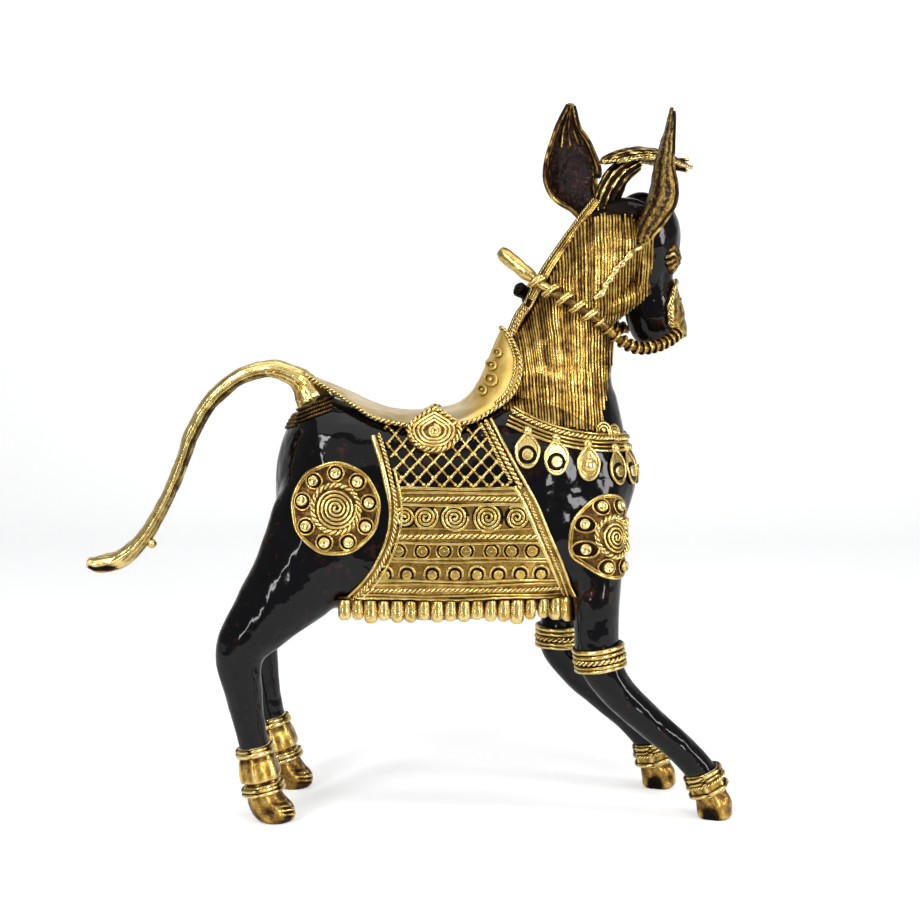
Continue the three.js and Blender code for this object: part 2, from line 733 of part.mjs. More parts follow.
// Teardrop medallions, laid over the saddle rim and the cloth
const dropBase = GAP + WIRE + GAP;
const [dropX, dropZ] = DROP_CENTRE;
const dropShape = (scale) => drop(dropX, dropZ, DROP_SIZE.map((s) => s * scale), 10);
const dropSpiral = prism(spiral(dropX, dropZ - 1, DROP_SIZE[0] * 0.61, 1.8, 0.7));
const dropRelief = relief(
  [
    { rise: DROP_RISE - 0.6, shapes: [prism(dropShape(1))] },
    { rise: DROP_RISE, shapes: [prism(dropShape(1), {}, dropShape(0.8)), dropSpiral] },
  ],
  RIGHT_COAT,
  dropBase,
);
pair("saddle_drop", "brass", dropRelief, dropBase, saddleSpace);

// Round medallions
function medallion(x, z, radius, count, facing) {
  const ring = Array.from({ length: count }, (_, i) => {
    const angle = (2 * Math.PI * (i + 0.25)) / count;
    const reach = radius * 0.72;
    return prism(circle(x + reach * Math.cos(angle), z + reach * Math.sin(angle), radius * 0.17, 5), facing);
  });
  return relief([
    { rise: PLATE, shapes: [prism(circle(x, z, radius, 12), facing)] },
    {
      rise: WIRE,
      shapes: [
        hoop(x, z, radius, radius * 0.9, facing, 12),
        prism(spiral(x, z, radius * 0.52, 1.5, radius * 0.07), facing),
      ],
    },
    { rise: BOSS, shapes: ring },
  ]);
}
const clothSpace = prism(ribbon(CLOTH_LEFT, GAP * 2)).add(clothPrism);
pair("hip_medallion", "brass", medallion(...HIP_CENTRE, HIP_RADIUS, HIP_BOSSES), GAP, clothSpace);
const shoulderFacing = { at: SHOULDER_AT, turn: SHOULDER_TURN };
const shoulder = medallion(0, SHOULDER_HEIGHT, SHOULDER_RADIUS, SHOULDER_BOSSES, shoulderFacing);
const pendantSpace = PENDANTS.map(({ at, turn, z }) =>
  prism(drop(0, z, PENDANT_SIZE.map((s) => s + GAP), 7), { at, turn }),
);
const collarShapes = join(both(ribbon(COLLAR_UPPER, COLLAR_WIDTH / 2 + GAP)), ...pendantSpace);
const collarSpace = collarShapes.intersect(coat(BACK_COAT, GAP + BOSS + GAP));
pair("shoulder_medallion", "brass", shoulder, GAP, clothSpace, collarSpace);

// Fringes: a hem cord with tassels
function flank(x, z) {
  let best = 0;
  for (let i = 0; i <= 200; i += 1) {
    const row = through(TORSO, i / 200);
    if (Math.abs(row[0] - x) < Math.abs(through(TORSO, best)[0] - x)) best = i / 200;
  }
  const [, back, belly, width, power] = through(TORSO, best);
  const high = Math.abs(z - (back + belly) / 2) / ((back - belly) / 2);
  return width * (1 - Math.min(high, 1) ** power) ** (1 / power);
}
const hemZ = CLOTH_LEFT.at(-1)[1] - GAP - 1;
const hemAt = (t) => {
  const x = THREE.MathUtils.lerp(CLOTH_LEFT.at(-1)[0] + 2.4, CLOTH_RIGHT[0][0] - 2.4, t);
  return [x, -flank(x, hemZ) - HEM_OFF, hemZ];
};
const hemRows = Array.from({ length: 9 }, (_, i) => [...hemAt(i / 8), ...HEM_CORD]);
const hemCord = limb(hemRows, { steps: 10, sides: 5 });
const tasselProfile = [
  [0, 0.6],
  [0.35, 1],
  [1, 0.5],
].map(([h, r]) => [h * TASSEL_LENGTH, r * TASSEL_RADIUS]);
const tassels = Array.from({ length: TASSEL_COUNT }, (_, i) => {
  const [x, y, z] = hemAt(i / (TASSEL_COUNT - 1));
  return turned([x, y, z - TASSEL_LENGTH + 0.6], [x, y, z], tasselProfile, 4);
});
const shoulderDisc = prism(circle(0, SHOULDER_HEIGHT, SHOULDER_RADIUS + GAP, 12), shoulderFacing);
const shoulderSpace = shoulderDisc.intersect(coat(RIGHT_COAT, GAP + BOSS + GAP));
pair("fringe", "brass", join(hemCord, ...tassels), GAP, shoulderSpace);

// Breast collar with pendants, and the crupper
const collarBand = both(ribbon(COLLAR_UPPER, COLLAR_WIDTH / 2)).intersect(coat(BACK_COAT, GAP + WIRE));
const hung = PENDANTS.map(({ at, turn, z }) => {
  const facing = { at, turn };
  const top = z + PENDANT_SIZE[1];
  const stem = ribbon([[0, top - PENDANT_STEM / 2], [0, top + PENDANT_STEM]], PENDANT_STEM * 0.4);
  const body = join(prism(drop(0, z, PENDANT_SIZE, 7), facing), prism(stem, facing));
  const bead = prism(circle(0, z - 1, PENDANT_SIZE[0] / 2, 5), facing);
  return relief([{ rise: PLATE, shapes: [body] }, { rise: BOSS, shapes: [bead] }], BACK_COAT);
});
const collar = join(collarBand, ...hung, ...hung.slice(0, -1).map(mirrored));
keep("breast_collar", "brass", cut(collar, coat(BACK_COAT, GAP), saddleSpace));
const crupper = both(ribbon(curve(CRUPPER, 8), CRUPPER_WIDTH / 2)).intersect(coat(BACK_COAT, GAP + WIRE));
keep("crupper", "brass", cut(crupper, coat(WHOLE_COAT, GAP), saddleSpace, grown("tail", GAP)));

// Tail
keep("tail", "brass", cut(grown("tail", 0), grown("torso", GAP), saddle(2 * GAP)));

// Knee bands, cuffs and hooves
function onLeg(name, profile, zTop, sides) {
  const rows = LEG_ROWS[name];
  const at = (z) => {
    let best = 0;
    for (let i = 0; i <= 400; i += 1) {
      if (Math.abs(through(rows, i / 400)[2] - z) < Math.abs(through(rows, best)[2] - z)) best = i / 400;
    }
    return through(rows, best).slice(0, 3);
  };
  const tall = profile.at(-1)[0];
  const band = turned(at(zTop - tall * 0.9), at(zTop), profile, sides);
  return cut(band, grown(name, GAP));
}
function hoof(rows, [x, y]) {
  const long = new THREE.Vector3(1, 0, 0);
  const wide = new THREE.Vector3(0, -1, 0);
  return skin(rows.map(([z, ahead, a, b]) => oval(new THREE.Vector3(x + ahead, y, z), long, wide, a, b, 12)));
}
for (const [name, rows] of Object.entries(LEG_ROWS)) {
  const fore = name.endsWith("fore");
  const foot = rows.at(-1);
  const cuff = onLeg(name, fore ? FORE_CUFF : HIND_CUFF, fore ? FORE_CUFF_TOP : HIND_CUFF_TOP, 8);
  keep(`${name}_cuff`, "brass", cut(cuff, footing(name)));
  keep(`${name}_hoof`, "brass", hoof(fore ? FORE_HOOF : HIND_HOOF, foot));
  if (fore) keep(name.replace("fore", "knee_band"), "brass", onLeg(name, KNEE_BAND, KNEE_BAND_TOP, 10));
}

// Hand over one named mesh for each piece
const MATERIALS = {
  enamel: { color: 0x14120f, roughness: 0.25, metalness: 0.2 },
  brass: { color: 0xb98a3c, roughness: 0.38, metalness: 0.9 },
  saddle_brass: { color: 0xcaa365, roughness: 0.42, metalness: 0.85 },
  ear_enamel: { color: 0x5a2222, roughness: 0.4, metalness: 0.5 },
  clay: { color: 0x7d5a44, roughness: 0.95, metalness: 0 },
};
const group = new THREE.Group();
for (const [name, { material, body }] of nodes) {
  const { vertProperties, triVerts } = body.getMesh();
  const geometry = new THREE.BufferGeometry();
  geometry.setAttribute("position", new THREE.Float32BufferAttribute(vertProperties, 3));
  geometry.setIndex(new THREE.Uint32BufferAttribute(triVerts, 1));
  const flat = geometry.toNonIndexed();
  flat.computeVertexNormals();
  const look = new THREE.MeshStandardMaterial({ name: material, ...MATERIALS[material] });
  const mesh = new THREE.Mesh(flat, look);
  mesh.name = name;
  group.add(mesh);
}
export default group;
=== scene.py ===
# Harnessed brass horse, a lost-wax casting: enamelled body, wax-thread ornament, white studio stage.
import math
import random

import bpy
import numpy as np
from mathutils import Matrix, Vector, noise
from mathutils.bvhtree import BVHTree


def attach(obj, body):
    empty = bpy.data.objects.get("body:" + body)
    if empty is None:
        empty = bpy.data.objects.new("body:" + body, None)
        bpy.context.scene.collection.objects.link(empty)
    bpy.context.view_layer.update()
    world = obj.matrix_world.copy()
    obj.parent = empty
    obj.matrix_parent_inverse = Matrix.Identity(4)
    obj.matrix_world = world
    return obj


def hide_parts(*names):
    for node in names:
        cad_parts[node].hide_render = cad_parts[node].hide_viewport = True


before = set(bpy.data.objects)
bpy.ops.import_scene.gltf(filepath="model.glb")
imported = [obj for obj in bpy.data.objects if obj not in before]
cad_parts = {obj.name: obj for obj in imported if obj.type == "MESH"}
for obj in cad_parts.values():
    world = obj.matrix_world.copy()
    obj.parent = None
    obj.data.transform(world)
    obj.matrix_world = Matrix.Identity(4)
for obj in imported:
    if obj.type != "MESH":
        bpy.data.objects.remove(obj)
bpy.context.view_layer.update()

# Every size below is in millimetres; meshes are written in metres
MM = 0.001
RIGHT, LEFT = -1, 1
SIDES = {"right": RIGHT, "left": LEFT}
# How far outside the body ornaments are cast from, and the grain of the fused body
REACH, VOXEL = 90, 0.8

# Torso: x, back, belly, half width, squareness
TORSO = [
    (-45.2, 121, 106, 5, 2), (-42.6, 130.2, 95, 13, 2.1), (-38, 138.2, 84, 20, 2.3),
    (-31, 144.4, 74, 25.5, 2.6), (-18, 141, 69, 28, 3.2), (0, 136.8, 67.5, 28.5, 3.8),
    (18, 137.6, 67.5, 28.5, 3.8), (34, 145, 68.5, 28.5, 3.3), (48, 147.6, 71, 27.5, 2.8),
    (60, 142.6, 77, 25, 2.5), (69.6, 133.6, 90, 19.5, 2.3), (75.4, 125.6, 103, 11.5, 2.1),
    (78.4, 119.5, 112, 4, 2),
]

# Limbs: x, distance to its own side, z, half depth, half width
HIND_LEG = [
    (-20, 13, 118, 17, 10), (-25.2, 16.5, 102, 20.4, 13.5), (-35.8, 19, 84.6, 16.3, 11.5),
    (-47.4, 20.5, 71, 11.6, 9), (-56, 21.5, 58.5, 8.3, 7.2), (-54.8, 22, 43, 6.1, 5.8),
    (-51.9, 22, 27, 5, 5), (-48.5, 22, 10, 5, 5),
]
FORE_LEG = [
    (57.4, 13, 114, 13, 10), (61.6, 17, 97, 12, 10.6), (63.8, 19.5, 80, 8.3, 8.8), (64, 20, 66, 7.6, 7.6),
    (65, 20, 55.4, 7.1, 7.6), (71.4, 20, 44.6, 6.0, 6.8), (80.9, 20, 35.2, 5.4, 6.2),
    (92.4, 20, 25, 5.1, 5.4), (100, 20, 16.8, 5.2, 5.2), (103.8, 20, 9.5, 5, 5),
]
# Stance: how far the left leg is ahead at its middle and its foot, and how far both feet stand to the left
HIND_SWING, FORE_SWING = (1.2, 2.6), (-12.4, -15)
HIND_LEAN, FORE_LEAN = 2, 4
# Shares of a leg's length over which the middle and the foot swing and the leg leans
MIDDLE_SPAN, FOOT_SPAN, LEAN_SPAN = (0.1, 0.5), (0.82, 1), (0.4, 1)
NECK = [
    (49.6, 0, 126, 26, 21), (50.2, 0, 148, 21.2, 18.5), (54.8, 0, 163, 16.4, 15.8), (58, 0, 174, 13.8, 14),
    (64, 0.5, 186, 13.4, 13.8), (70, 1.4, 198.4, 11.8, 12.4), (74, 3, 204.5, 6, 6),
]
THROAT = [
    (61, 0, 172.6, 7.4, 9.6), (67, 0, 174, 6.4, 9.8), (73, 0.4, 176.4, 5.2, 9.4), (78.6, 1.4, 179.4, 4, 8),
]
POLL = [
    (68, 1, 203.6, 6, 6), (74, 2, 205.6, 5.8, 8), (80, 3.4, 204.6, 5.6, 8), (85, 5, 202, 4, 6),
]
TAIL = [
    (-30, 0, 136.5, 6.2, 5.4), (-32.6, 0, 142.4, 5.8, 5.2), (-35.4, 0, 147.4, 4.5, 4.8),
    (-39.6, 0, 150.9, 3.5, 4.6), (-47.6, 0, 153, 3, 4.3), (-58, 0, 150, 2.8, 4.2), (-67.4, 0, 142, 2.7, 4),
    (-74.4, 0, 130.5, 2.5, 4), (-79, 0, 118.1, 2.4, 4), (-84.4, 0, 105.9, 2.3, 4),
    (-91.7, 0, 94.2, 2.6, 4.3), (-99.2, 0, 87.2, 3.2, 4.8), (-106.8, 0, 85.2, 3.0, 5.2),
    (-110.6, 0, 85.8, 1.9, 4.6),
]

# Head, turned to the horse's left; rows run down the face: forward, up, half depth, half width
HEAD_AT, HEAD_YAW = (72.6, 2, 210), math.radians(38)
FACE = np.array((math.cos(HEAD_YAW), math.sin(HEAD_YAW), 0))
CHEEK = np.array((math.sin(HEAD_YAW), -math.cos(HEAD_YAW), 0))
HEAD = [
    (3.5, -1.2, 3.4, 4), (6, -3.2, 9.5, 8.8), (9.4, -9, 14.2, 12.6), (11, -18, 13.4, 11.8),
    (12.6, -28, 9.4, 9.2), (16, -38, 10.4, 8.4), (18.8, -45.5, 8.8, 7.4), (19.6, -49.2, 4.4, 4),
]

rng = random.Random(7)


# Curves and rings

def through(rows, t):
    """Catmull-Rom through rows of numbers, t from 0 to 1."""
    rows = np.asarray(rows, float)
    spot = t * (len(rows) - 1)
    i = min(int(spot), len(rows) - 2)
    f = spot - i
    a, b, c, d = (rows[min(max(i + k, 0), len(rows) - 1)] for k in (-1, 0, 1, 2))
    return b + 0.5 * f * (c - a + f * (2 * a - 5 * b + 4 * c - d + f * (3 * (b - c) + d - a)))


def curve(rows, count):
    return np.array([through(rows, i / count) for i in range(count + 1)])


def unit(v):
    return v / max(np.linalg.norm(v), 1e-9)


def full_turn(count):
    """Angles once round, evenly spaced."""
    return np.linspace(0, 2 * math.pi, count, endpoint=False)


def frames(path, across):
    """Tangent, wide and deep directions along a path of points."""
    for tangent in np.gradient(path, axis=0):
        tangent = unit(tangent)
        wide = unit(np.asarray(across, float) - tangent * np.dot(across, tangent))
        yield tangent, wide, np.cross(wide, tangent)


def limb(rows, steps, sides, across=(0, 1, 0), section=None):
    """Oval rings along a spine; section gives the reach of a ring at an angle and a place along."""
    spine, angle = curve(rows, steps), full_turn(sides)
    rings = []
    for i, (_, wide, deep) in enumerate(frames(spine[:, :3], across)):
        reach = section(angle, i / steps) if section else 1.0
        a = spine[i, 3] * np.cos(angle) * reach
        b = spine[i, 4] * np.sin(angle) * reach
        rings.append(spine[i, :3] + np.outer(a, deep) + np.outer(b, wide))
    return np.array(rings)


def barrel(rows, steps, sides):
    """Rings of the torso, the squarer the higher the last number of a row."""
    angle = full_turn(sides)
    rings = []
    for x, back, belly, width, power in curve(rows, steps):
        up = np.sign(np.cos(angle)) * np.abs(np.cos(angle)) ** (2 / power)
        out = np.sign(np.sin(angle)) * np.abs(np.sin(angle)) ** (2 / power)
        middle, half = (back + belly) / 2, (back - belly) / 2
        rings.append(np.column_stack([np.full(sides, x), -width * out, middle + half * up]))
    return np.array(rings)


def axis_frame(start, end):
    """Axis from start to end, with its wide and deep directions."""
    axis = unit(np.asarray(end, float) - start)
    wide = unit(np.array((0, 1, 0)) - axis * axis[1])
    return axis, wide, np.cross(wide, axis)


def turned(start, end, profile, sides, section=None):
    """Rings of a profile of height and radius, turned about the line from start to end."""
    axis, wide, deep = axis_frame(start, end)
    angle = full_turn(sides)
    rings = []
    for height, radius in profile:
        reach = radius * (section(angle) if section else np.ones(sides))
        out = np.outer(reach * np.cos(angle), deep) + np.outer(reach * np.sin(angle), wide)
        rings.append(start + axis * height + out)
    return np.array(rings)


def skin(rings):
    """Points and faces of a closed skin over rings."""
    count, sides = rings.shape[:2]
    points = [*rings.reshape(-1, 3), rings[0].mean(0), rings[-1].mean(0)]
    faces = []
    for r in range(count - 1):
        for s in range(sides):
            a, b = r * sides + s, r * sides + (s + 1) % sides
            faces.append((a, b, b + sides, a + sides))
    low, high, last = count * sides, count * sides + 1, (count - 1) * sides
    for s in range(sides):
        faces.append((low, (s + 1) % sides, s))
        faces.append((high, last + s, last + (s + 1) % sides))
    return np.array(points), faces


def in_head(forward, up, aside=0.0):
    return np.array(HEAD_AT) + FACE * forward + CHEEK * aside + np.array((0, 0, up))


def eased(t, low, high):
    t = min(max((t - low) / (high - low), 0), 1)
    return t * t * (3 - 2 * t)


def leg_rows(rows, side, swing, lean):
    """Rows of one leg; the left ones stand a stride apart from the right."""
    middle, foot = swing if side == LEFT else (0, 0)
    made = []
    for i, (x, y, z, depth, width) in enumerate(rows):
        t = i / (len(rows) - 1)
        ahead = middle * eased(t, *MIDDLE_SPAN) + (foot - middle) * eased(t, *FOOT_SPAN)
        made.append((x + ahead, side * y + lean * eased(t, *LEAN_SPAN), z, depth, width))
    return made


STANCE = (("hind", HIND_LEG, HIND_SWING, HIND_LEAN), ("fore", FORE_LEG, FORE_SWING, FORE_LEAN))
LEGS = {
    f"{name}_{end}": leg_rows(rows, side, swing, lean)
    for name, side in SIDES.items() for end, rows, swing, lean in STANCE
}


# Mesh objects

def mesh_object(name, points, faces=(), edges=()):
    mesh = bpy.data.meshes.new(name)
    places = (np.asarray(points, float) * MM).tolist()
    mesh.from_pydata(places, [tuple(e) for e in edges], [tuple(f) for f in faces])
    mesh.update()
    obj = bpy.data.objects.new(name, mesh)
    bpy.context.scene.collection.objects.link(obj)
    if len(faces):
        mesh.shade_smooth()
    return obj


def merged(skins):
    """Points and faces of several skins as one."""
    points, faces = [], []
    for some_points, some_faces in skins:
        start = len(points)
        faces.extend(tuple(i + start for i in f) for f in some_faces)
        points.extend(some_points)
    return points, faces


def solid_object(name, *skins):
    """One object from several closed skins."""
    return mesh_object(name, *merged(skins))


def grid_faces(rows, columns):
    """Faces of a grid of points, row by row."""
    corners = (r * columns + s for r in range(rows - 1) for s in range(columns - 1))
    return [(a, a + 1, a + columns + 1, a + columns) for a in corners]


def settle(obj):
    """Turns an object with modifiers into a plain mesh."""
    graph = bpy.context.evaluated_depsgraph_get()
    whole = obj.evaluated_get(graph)
    mesh = bpy.data.meshes.new_from_object(whole, preserve_all_data_layers=True, depsgraph=graph)
    obj.modifiers.clear()
    obj.data = mesh
    return obj


def walled(obj, thick, towards):
    """Gives a sheet its wall: inwards at -1, to both sides at 0, outwards at 1."""
    wall = obj.modifiers.new("wall", "SOLIDIFY")
    wall.thickness, wall.offset = thick * MM, towards
    return settle(obj)


def joined(name, objects):
    with bpy.context.temp_override(active_object=objects[0], selected_editable_objects=objects):
        bpy.ops.object.join()
    objects[0].name = name
    objects[0].data.name = name
    return objects[0]


def vertex_rows(obj, field):
    found = np.empty(len(obj.data.vertices) * 3)
    obj.data.vertices.foreach_get(field, found)
    return found.reshape(-1, 3)


def coordinates(obj):
    return vertex_rows(obj, "co") / MM


def normals(obj):
    return vertex_rows(obj, "normal")


def set_coordinates(obj, points):
    obj.data.vertices.foreach_set("co", (points * MM).ravel())
    obj.data.update()


def edge_pairs(obj):
    pairs = np.empty(len(obj.data.edges) * 2, np.int32)
    obj.data.edges.foreach_get("vertices", pairs)
    return pairs.reshape(-1, 2)


def ray_tree(obj):
    return BVHTree.FromPolygons(coordinates(obj).tolist(), [tuple(f.vertices) for f in obj.data.polygons])


def relaxed(points, pairs, passes):
    """Points averaged with their neighbours, passes times over."""
    ends = np.concatenate([pairs, pairs[:, ::-1]])
    count = np.maximum(np.bincount(ends[:, 0], minlength=len(points)), 1)
    for _ in range(passes):
        totals = [np.bincount(ends[:, 0], points[ends[:, 1], k], len(points)) for k in range(points.shape[1])]
        points = 0.5 * points + 0.5 * np.column_stack(totals) / count[:, None]
    return points


def write_attribute(obj, name, values, kind="FLOAT"):
    layer = obj.data.attributes.get(name) or obj.data.attributes.new(name, kind, "POINT")
    field = "vector" if kind == "FLOAT_VECTOR" else "value"
    layer.data.foreach_set(field, np.asarray(values, np.float32).ravel())


def read_attribute(obj, name):
    """Rows of an attribute's numbers, one row a point."""
    layer = obj.data.attributes[name]
    each, field = (3, "vector") if layer.data_type == "FLOAT_VECTOR" else (1, "value")
    values = np.empty(len(obj.data.vertices) * each, np.float32)
    layer.data.foreach_get(field, values)
    return values.reshape(-1, each)


def relief_from_shape(obj, base, gain, passes):
    """Stores how far each point stands out of the smoothed surface, for the patina."""
    points = coordinates(obj)
    proud = ((points - relaxed(points, edge_pairs(obj), passes)) * normals(obj)).sum(1)
    write_attribute(obj, "relief", (base + gain * proud) * MM)
    return obj


def add_relief(obj, change):
    """Changes the stored relief of the first points: more is paler, less is darker."""
    relief = read_attribute(obj, "relief")[:, 0]
    relief[:len(change)] += np.asarray(change) * MM
    write_attribute(obj, "relief", relief)


def lumpy(obj, amount, size, seed):
    """Uneven hand-made surface: points pushed along their normals by soft noise."""
    points, out = coordinates(obj), normals(obj)
    shift = Vector((seed * 3.7, seed * 1.3, 0))
    push = np.array([noise.noise(Vector(p) / size + shift) for p in points])
    set_coordinates(obj, points + out * (amount * push)[:, None])


def place(obj, nodes, material=None):
    """Hands a finished piece to the frame in place of its CAD nodes."""
    if material:
        obj.data.materials.clear()
        obj.data.materials.append(material)
    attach(obj, "root")
    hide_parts(*nodes)


# Node trees

def plug(tree, socket, value):
    if isinstance(value, bpy.types.NodeSocket):
        tree.links.new(value, socket)
    else:
        socket.default_value = value


def node(tree, kind, inputs=None, **settings):
    made = tree.nodes.new(kind)
    for key, value in settings.items():
        setattr(made, key, value)
    for key, value in (inputs or {}).items():
        plug(tree, made.inputs[key], value)
    return made


def sums(tree, operation, *values):
    made = node(tree, "ShaderNodeMath", dict(enumerate(values)), operation=operation)
    return made.outputs[0]


def vectors(tree, operation, *values):
    made = node(tree, "ShaderNodeVectorMath", operation=operation)
    for i, value in enumerate(values):
        plug(tree, made.inputs["Scale" if operation == "SCALE" and i == 1 else i], value)
    return made.outputs["Vector"]


def named(tree, name, kind="FLOAT"):
    return node(tree, "GeometryNodeInputNamedAttribute", {"Name": name}, data_type=kind).outputs["Attribute"]


def stored(tree, geometry, name, value, kind="FLOAT"):
    inputs = {"Geometry": geometry, "Name": name, "Value": value}
    return node(tree, "GeometryNodeStoreNamedAttribute", inputs, data_type=kind, domain="POINT").outputs[0]


def new_tree(name, sockets):
    tree = bpy.data.node_groups.new(name, "GeometryNodeTree")
    tree.interface.new_socket("Geometry", in_out="INPUT", socket_type="NodeSocketGeometry")
    for label, kind in sockets.items():
        tree.interface.new_socket(label, in_out="INPUT", socket_type="NodeSocket" + kind)
    tree.interface.new_socket("Geometry", in_out="OUTPUT", socket_type="NodeSocketGeometry")
    return tree, tree.nodes.new("NodeGroupInput").outputs, tree.nodes.new("NodeGroupOutput").inputs[0]


def switched(tree, share, first, second):
    """The first vector, or the second where share is true."""
    inputs = {"Switch": share, "False": first, "True": second}
    return node(tree, "GeometryNodeSwitch", inputs, input_type="VECTOR").outputs[0]


WOBBLE_GRAIN, RAY_LENGTH = 160.0, 1.0


def laid(tree, given, points):
    """Sets guide points down on the backing along their aim, and keeps the skin's normal there as up."""
    aim = named(tree, "aim", "FLOAT_VECTOR")
    here = node(tree, "GeometryNodeInputPosition").outputs[0]
    grain = {"Vector": here, "Scale": WOBBLE_GRAIN, "Detail": 1.0}
    wave = node(tree, "ShaderNodeTexNoise", grain).outputs["Color"]
    sway = vectors(tree, "SCALE", vectors(tree, "SUBTRACT", wave, (0.5, 0.5, 0.5)), given["Wobble"])
    start = vectors(tree, "ADD", here, sway)
    target = node(tree, "GeometryNodeObjectInfo", {"Object": given["Backing"]}).outputs["Geometry"]
    ray = node(tree, "GeometryNodeRaycast", {
        "Target Geometry": target, "Attribute": named(tree, "skin", "FLOAT_VECTOR"), "Source Position": start,
        "Ray Direction": aim, "Ray Length": RAY_LENGTH,
    }, data_type="FLOAT_VECTOR").outputs
    cling = given["Cling"]
    up = switched(tree, cling, vectors(tree, "SCALE", aim, -1.0), ray["Attribute"])
    rest = switched(tree, cling, start, ray["Hit Position"])
    missed = node(tree, "FunctionNodeBooleanMath", {0: ray["Is Hit"]}, operation="NOT").outputs[0]
    lost = node(tree, "FunctionNodeBooleanMath", {0: cling, 1: missed}, operation="AND").outputs[0]
    points = stored(tree, points, "up", vectors(tree, "NORMALIZE", up), "FLOAT_VECTOR")
    points = stored(tree, points, "rest", rest, "FLOAT_VECTOR")
    off = {"Geometry": points, "Selection": lost}
    points = node(tree, "GeometryNodeDeleteGeometry", off, domain="POINT").outputs[0]
    lifted = vectors(tree, "ADD", named(tree, "rest", "FLOAT_VECTOR"),
                     vectors(tree, "SCALE", named(tree, "up", "FLOAT_VECTOR"), given["Lift"]))
    return node(tree, "GeometryNodeSetPosition", {"Geometry": points, "Position": lifted}).outputs[0], target


def dressed(tree, given, out, mesh, target, proud=None):
    """Last steps of every ornament: realize, keep the height over the backing, smooth, paint."""
    mesh = node(tree, "GeometryNodeRealizeInstances", {"Geometry": mesh}).outputs[0]
    near = node(tree, "GeometryNodeProximity", {0: target}, target_element="FACES").outputs["Distance"]
    mesh = stored(tree, mesh, "relief", near if proud is None else proud)
    mesh = node(tree, "GeometryNodeSetShadeSmooth", {"Geometry": mesh}).outputs[0]
    paint = {"Geometry": mesh, "Material": given["Material"]}
    plug(tree, out, node(tree, "GeometryNodeSetMaterial", paint).outputs[0])


LAY_SOCKETS = {
    "Backing": "Object", "Material": "Material", "Cling": "Bool", "Lift": "Float", "Wobble": "Float",
}
ROPE_PROUD = 1.25


def twisted(tree, given, line, weight, share_of_turn):
    """One strand of a rope: the line wound round itself from a share of a turn on."""
    share = node(tree, "GeometryNodeSplineParameter").outputs["Factor"]
    length = node(tree, "GeometryNodeSplineLength").outputs["Length"]
    pitch = sums(tree, "MULTIPLY", given["Pitch"], weight)
    turns = sums(tree, "MULTIPLY", share, sums(tree, "ROUND", sums(tree, "DIVIDE", length, pitch)))
    phase = sums(tree, "MULTIPLY_ADD", turns, 2 * math.pi, 2 * math.pi * share_of_turn)
    up = named(tree, "up", "FLOAT_VECTOR")
    tangent = node(tree, "GeometryNodeInputTangent").outputs[0]
    aside = vectors(tree, "NORMALIZE", vectors(tree, "CROSS_PRODUCT", up, tangent))
    reach = sums(tree, "MULTIPLY", given["Twist"], weight)
    rise = vectors(tree, "SCALE", up, sums(tree, "MULTIPLY", sums(tree, "COSINE", phase), reach))
    slip = vectors(tree, "SCALE", aside, sums(tree, "MULTIPLY", sums(tree, "SINE", phase), reach))
    moved = {"Geometry": line, "Offset": vectors(tree, "ADD", rise, slip)}
    return node(tree, "GeometryNodeSetPosition", moved).outputs[0]


def thread_tree(name, strands):
    """Wax thread laid on the body: one round wire, or strands twisted into a rope."""
    sizes = {"Radius": "Float", "Step": "Float", "Sides": "Int", "Twist": "Float", "Pitch": "Float"}
    tree, given, out = new_tree(name, {**LAY_SOCKETS, **sizes})
    line = node(tree, "GeometryNodeMeshToCurve", {"Mesh": given["Geometry"]}).outputs[0]
    spaced = {"Curve": line, "Length": given["Step"]}
    line = node(tree, "GeometryNodeResampleCurve", spaced, mode="LENGTH").outputs[0]
    line, target = laid(tree, given, line)
    here = node(tree, "GeometryNodeInputPosition").outputs[0]
    line = stored(tree, line, "axis", here, "FLOAT_VECTOR")
    weight = named(tree, "weight")
    wire = {"Resolution": given["Sides"], "Radius": given["Radius"]}
    ring = node(tree, "GeometryNodeCurvePrimitiveCircle", wire).outputs["Curve"]
    tubes = node(tree, "GeometryNodeJoinGeometry")
    for k in range(strands):
        strand = twisted(tree, given, line, weight, k / strands) if strands > 1 else line
        tube = {"Curve": strand, "Profile Curve": ring, "Scale": weight, "Fill Caps": True}
        tree.links.new(node(tree, "GeometryNodeCurveToMesh", tube).outputs[0], tubes.inputs[0])
    proud = None
    if strands > 1:
        ends = {0: here, 1: named(tree, "axis", "FLOAT_VECTOR")}
        apart = node(tree, "ShaderNodeVectorMath", ends, operation="DISTANCE").outputs["Value"]
        whole = sums(tree, "MULTIPLY", weight, sums(tree, "ADD", given["Twist"], given["Radius"]))
        proud = sums(tree, "MULTIPLY", sums(tree, "DIVIDE", apart, whole), ROPE_PROUD * MM)
    dressed(tree, given, out, tubes.outputs[0], target, proud)
    return tree


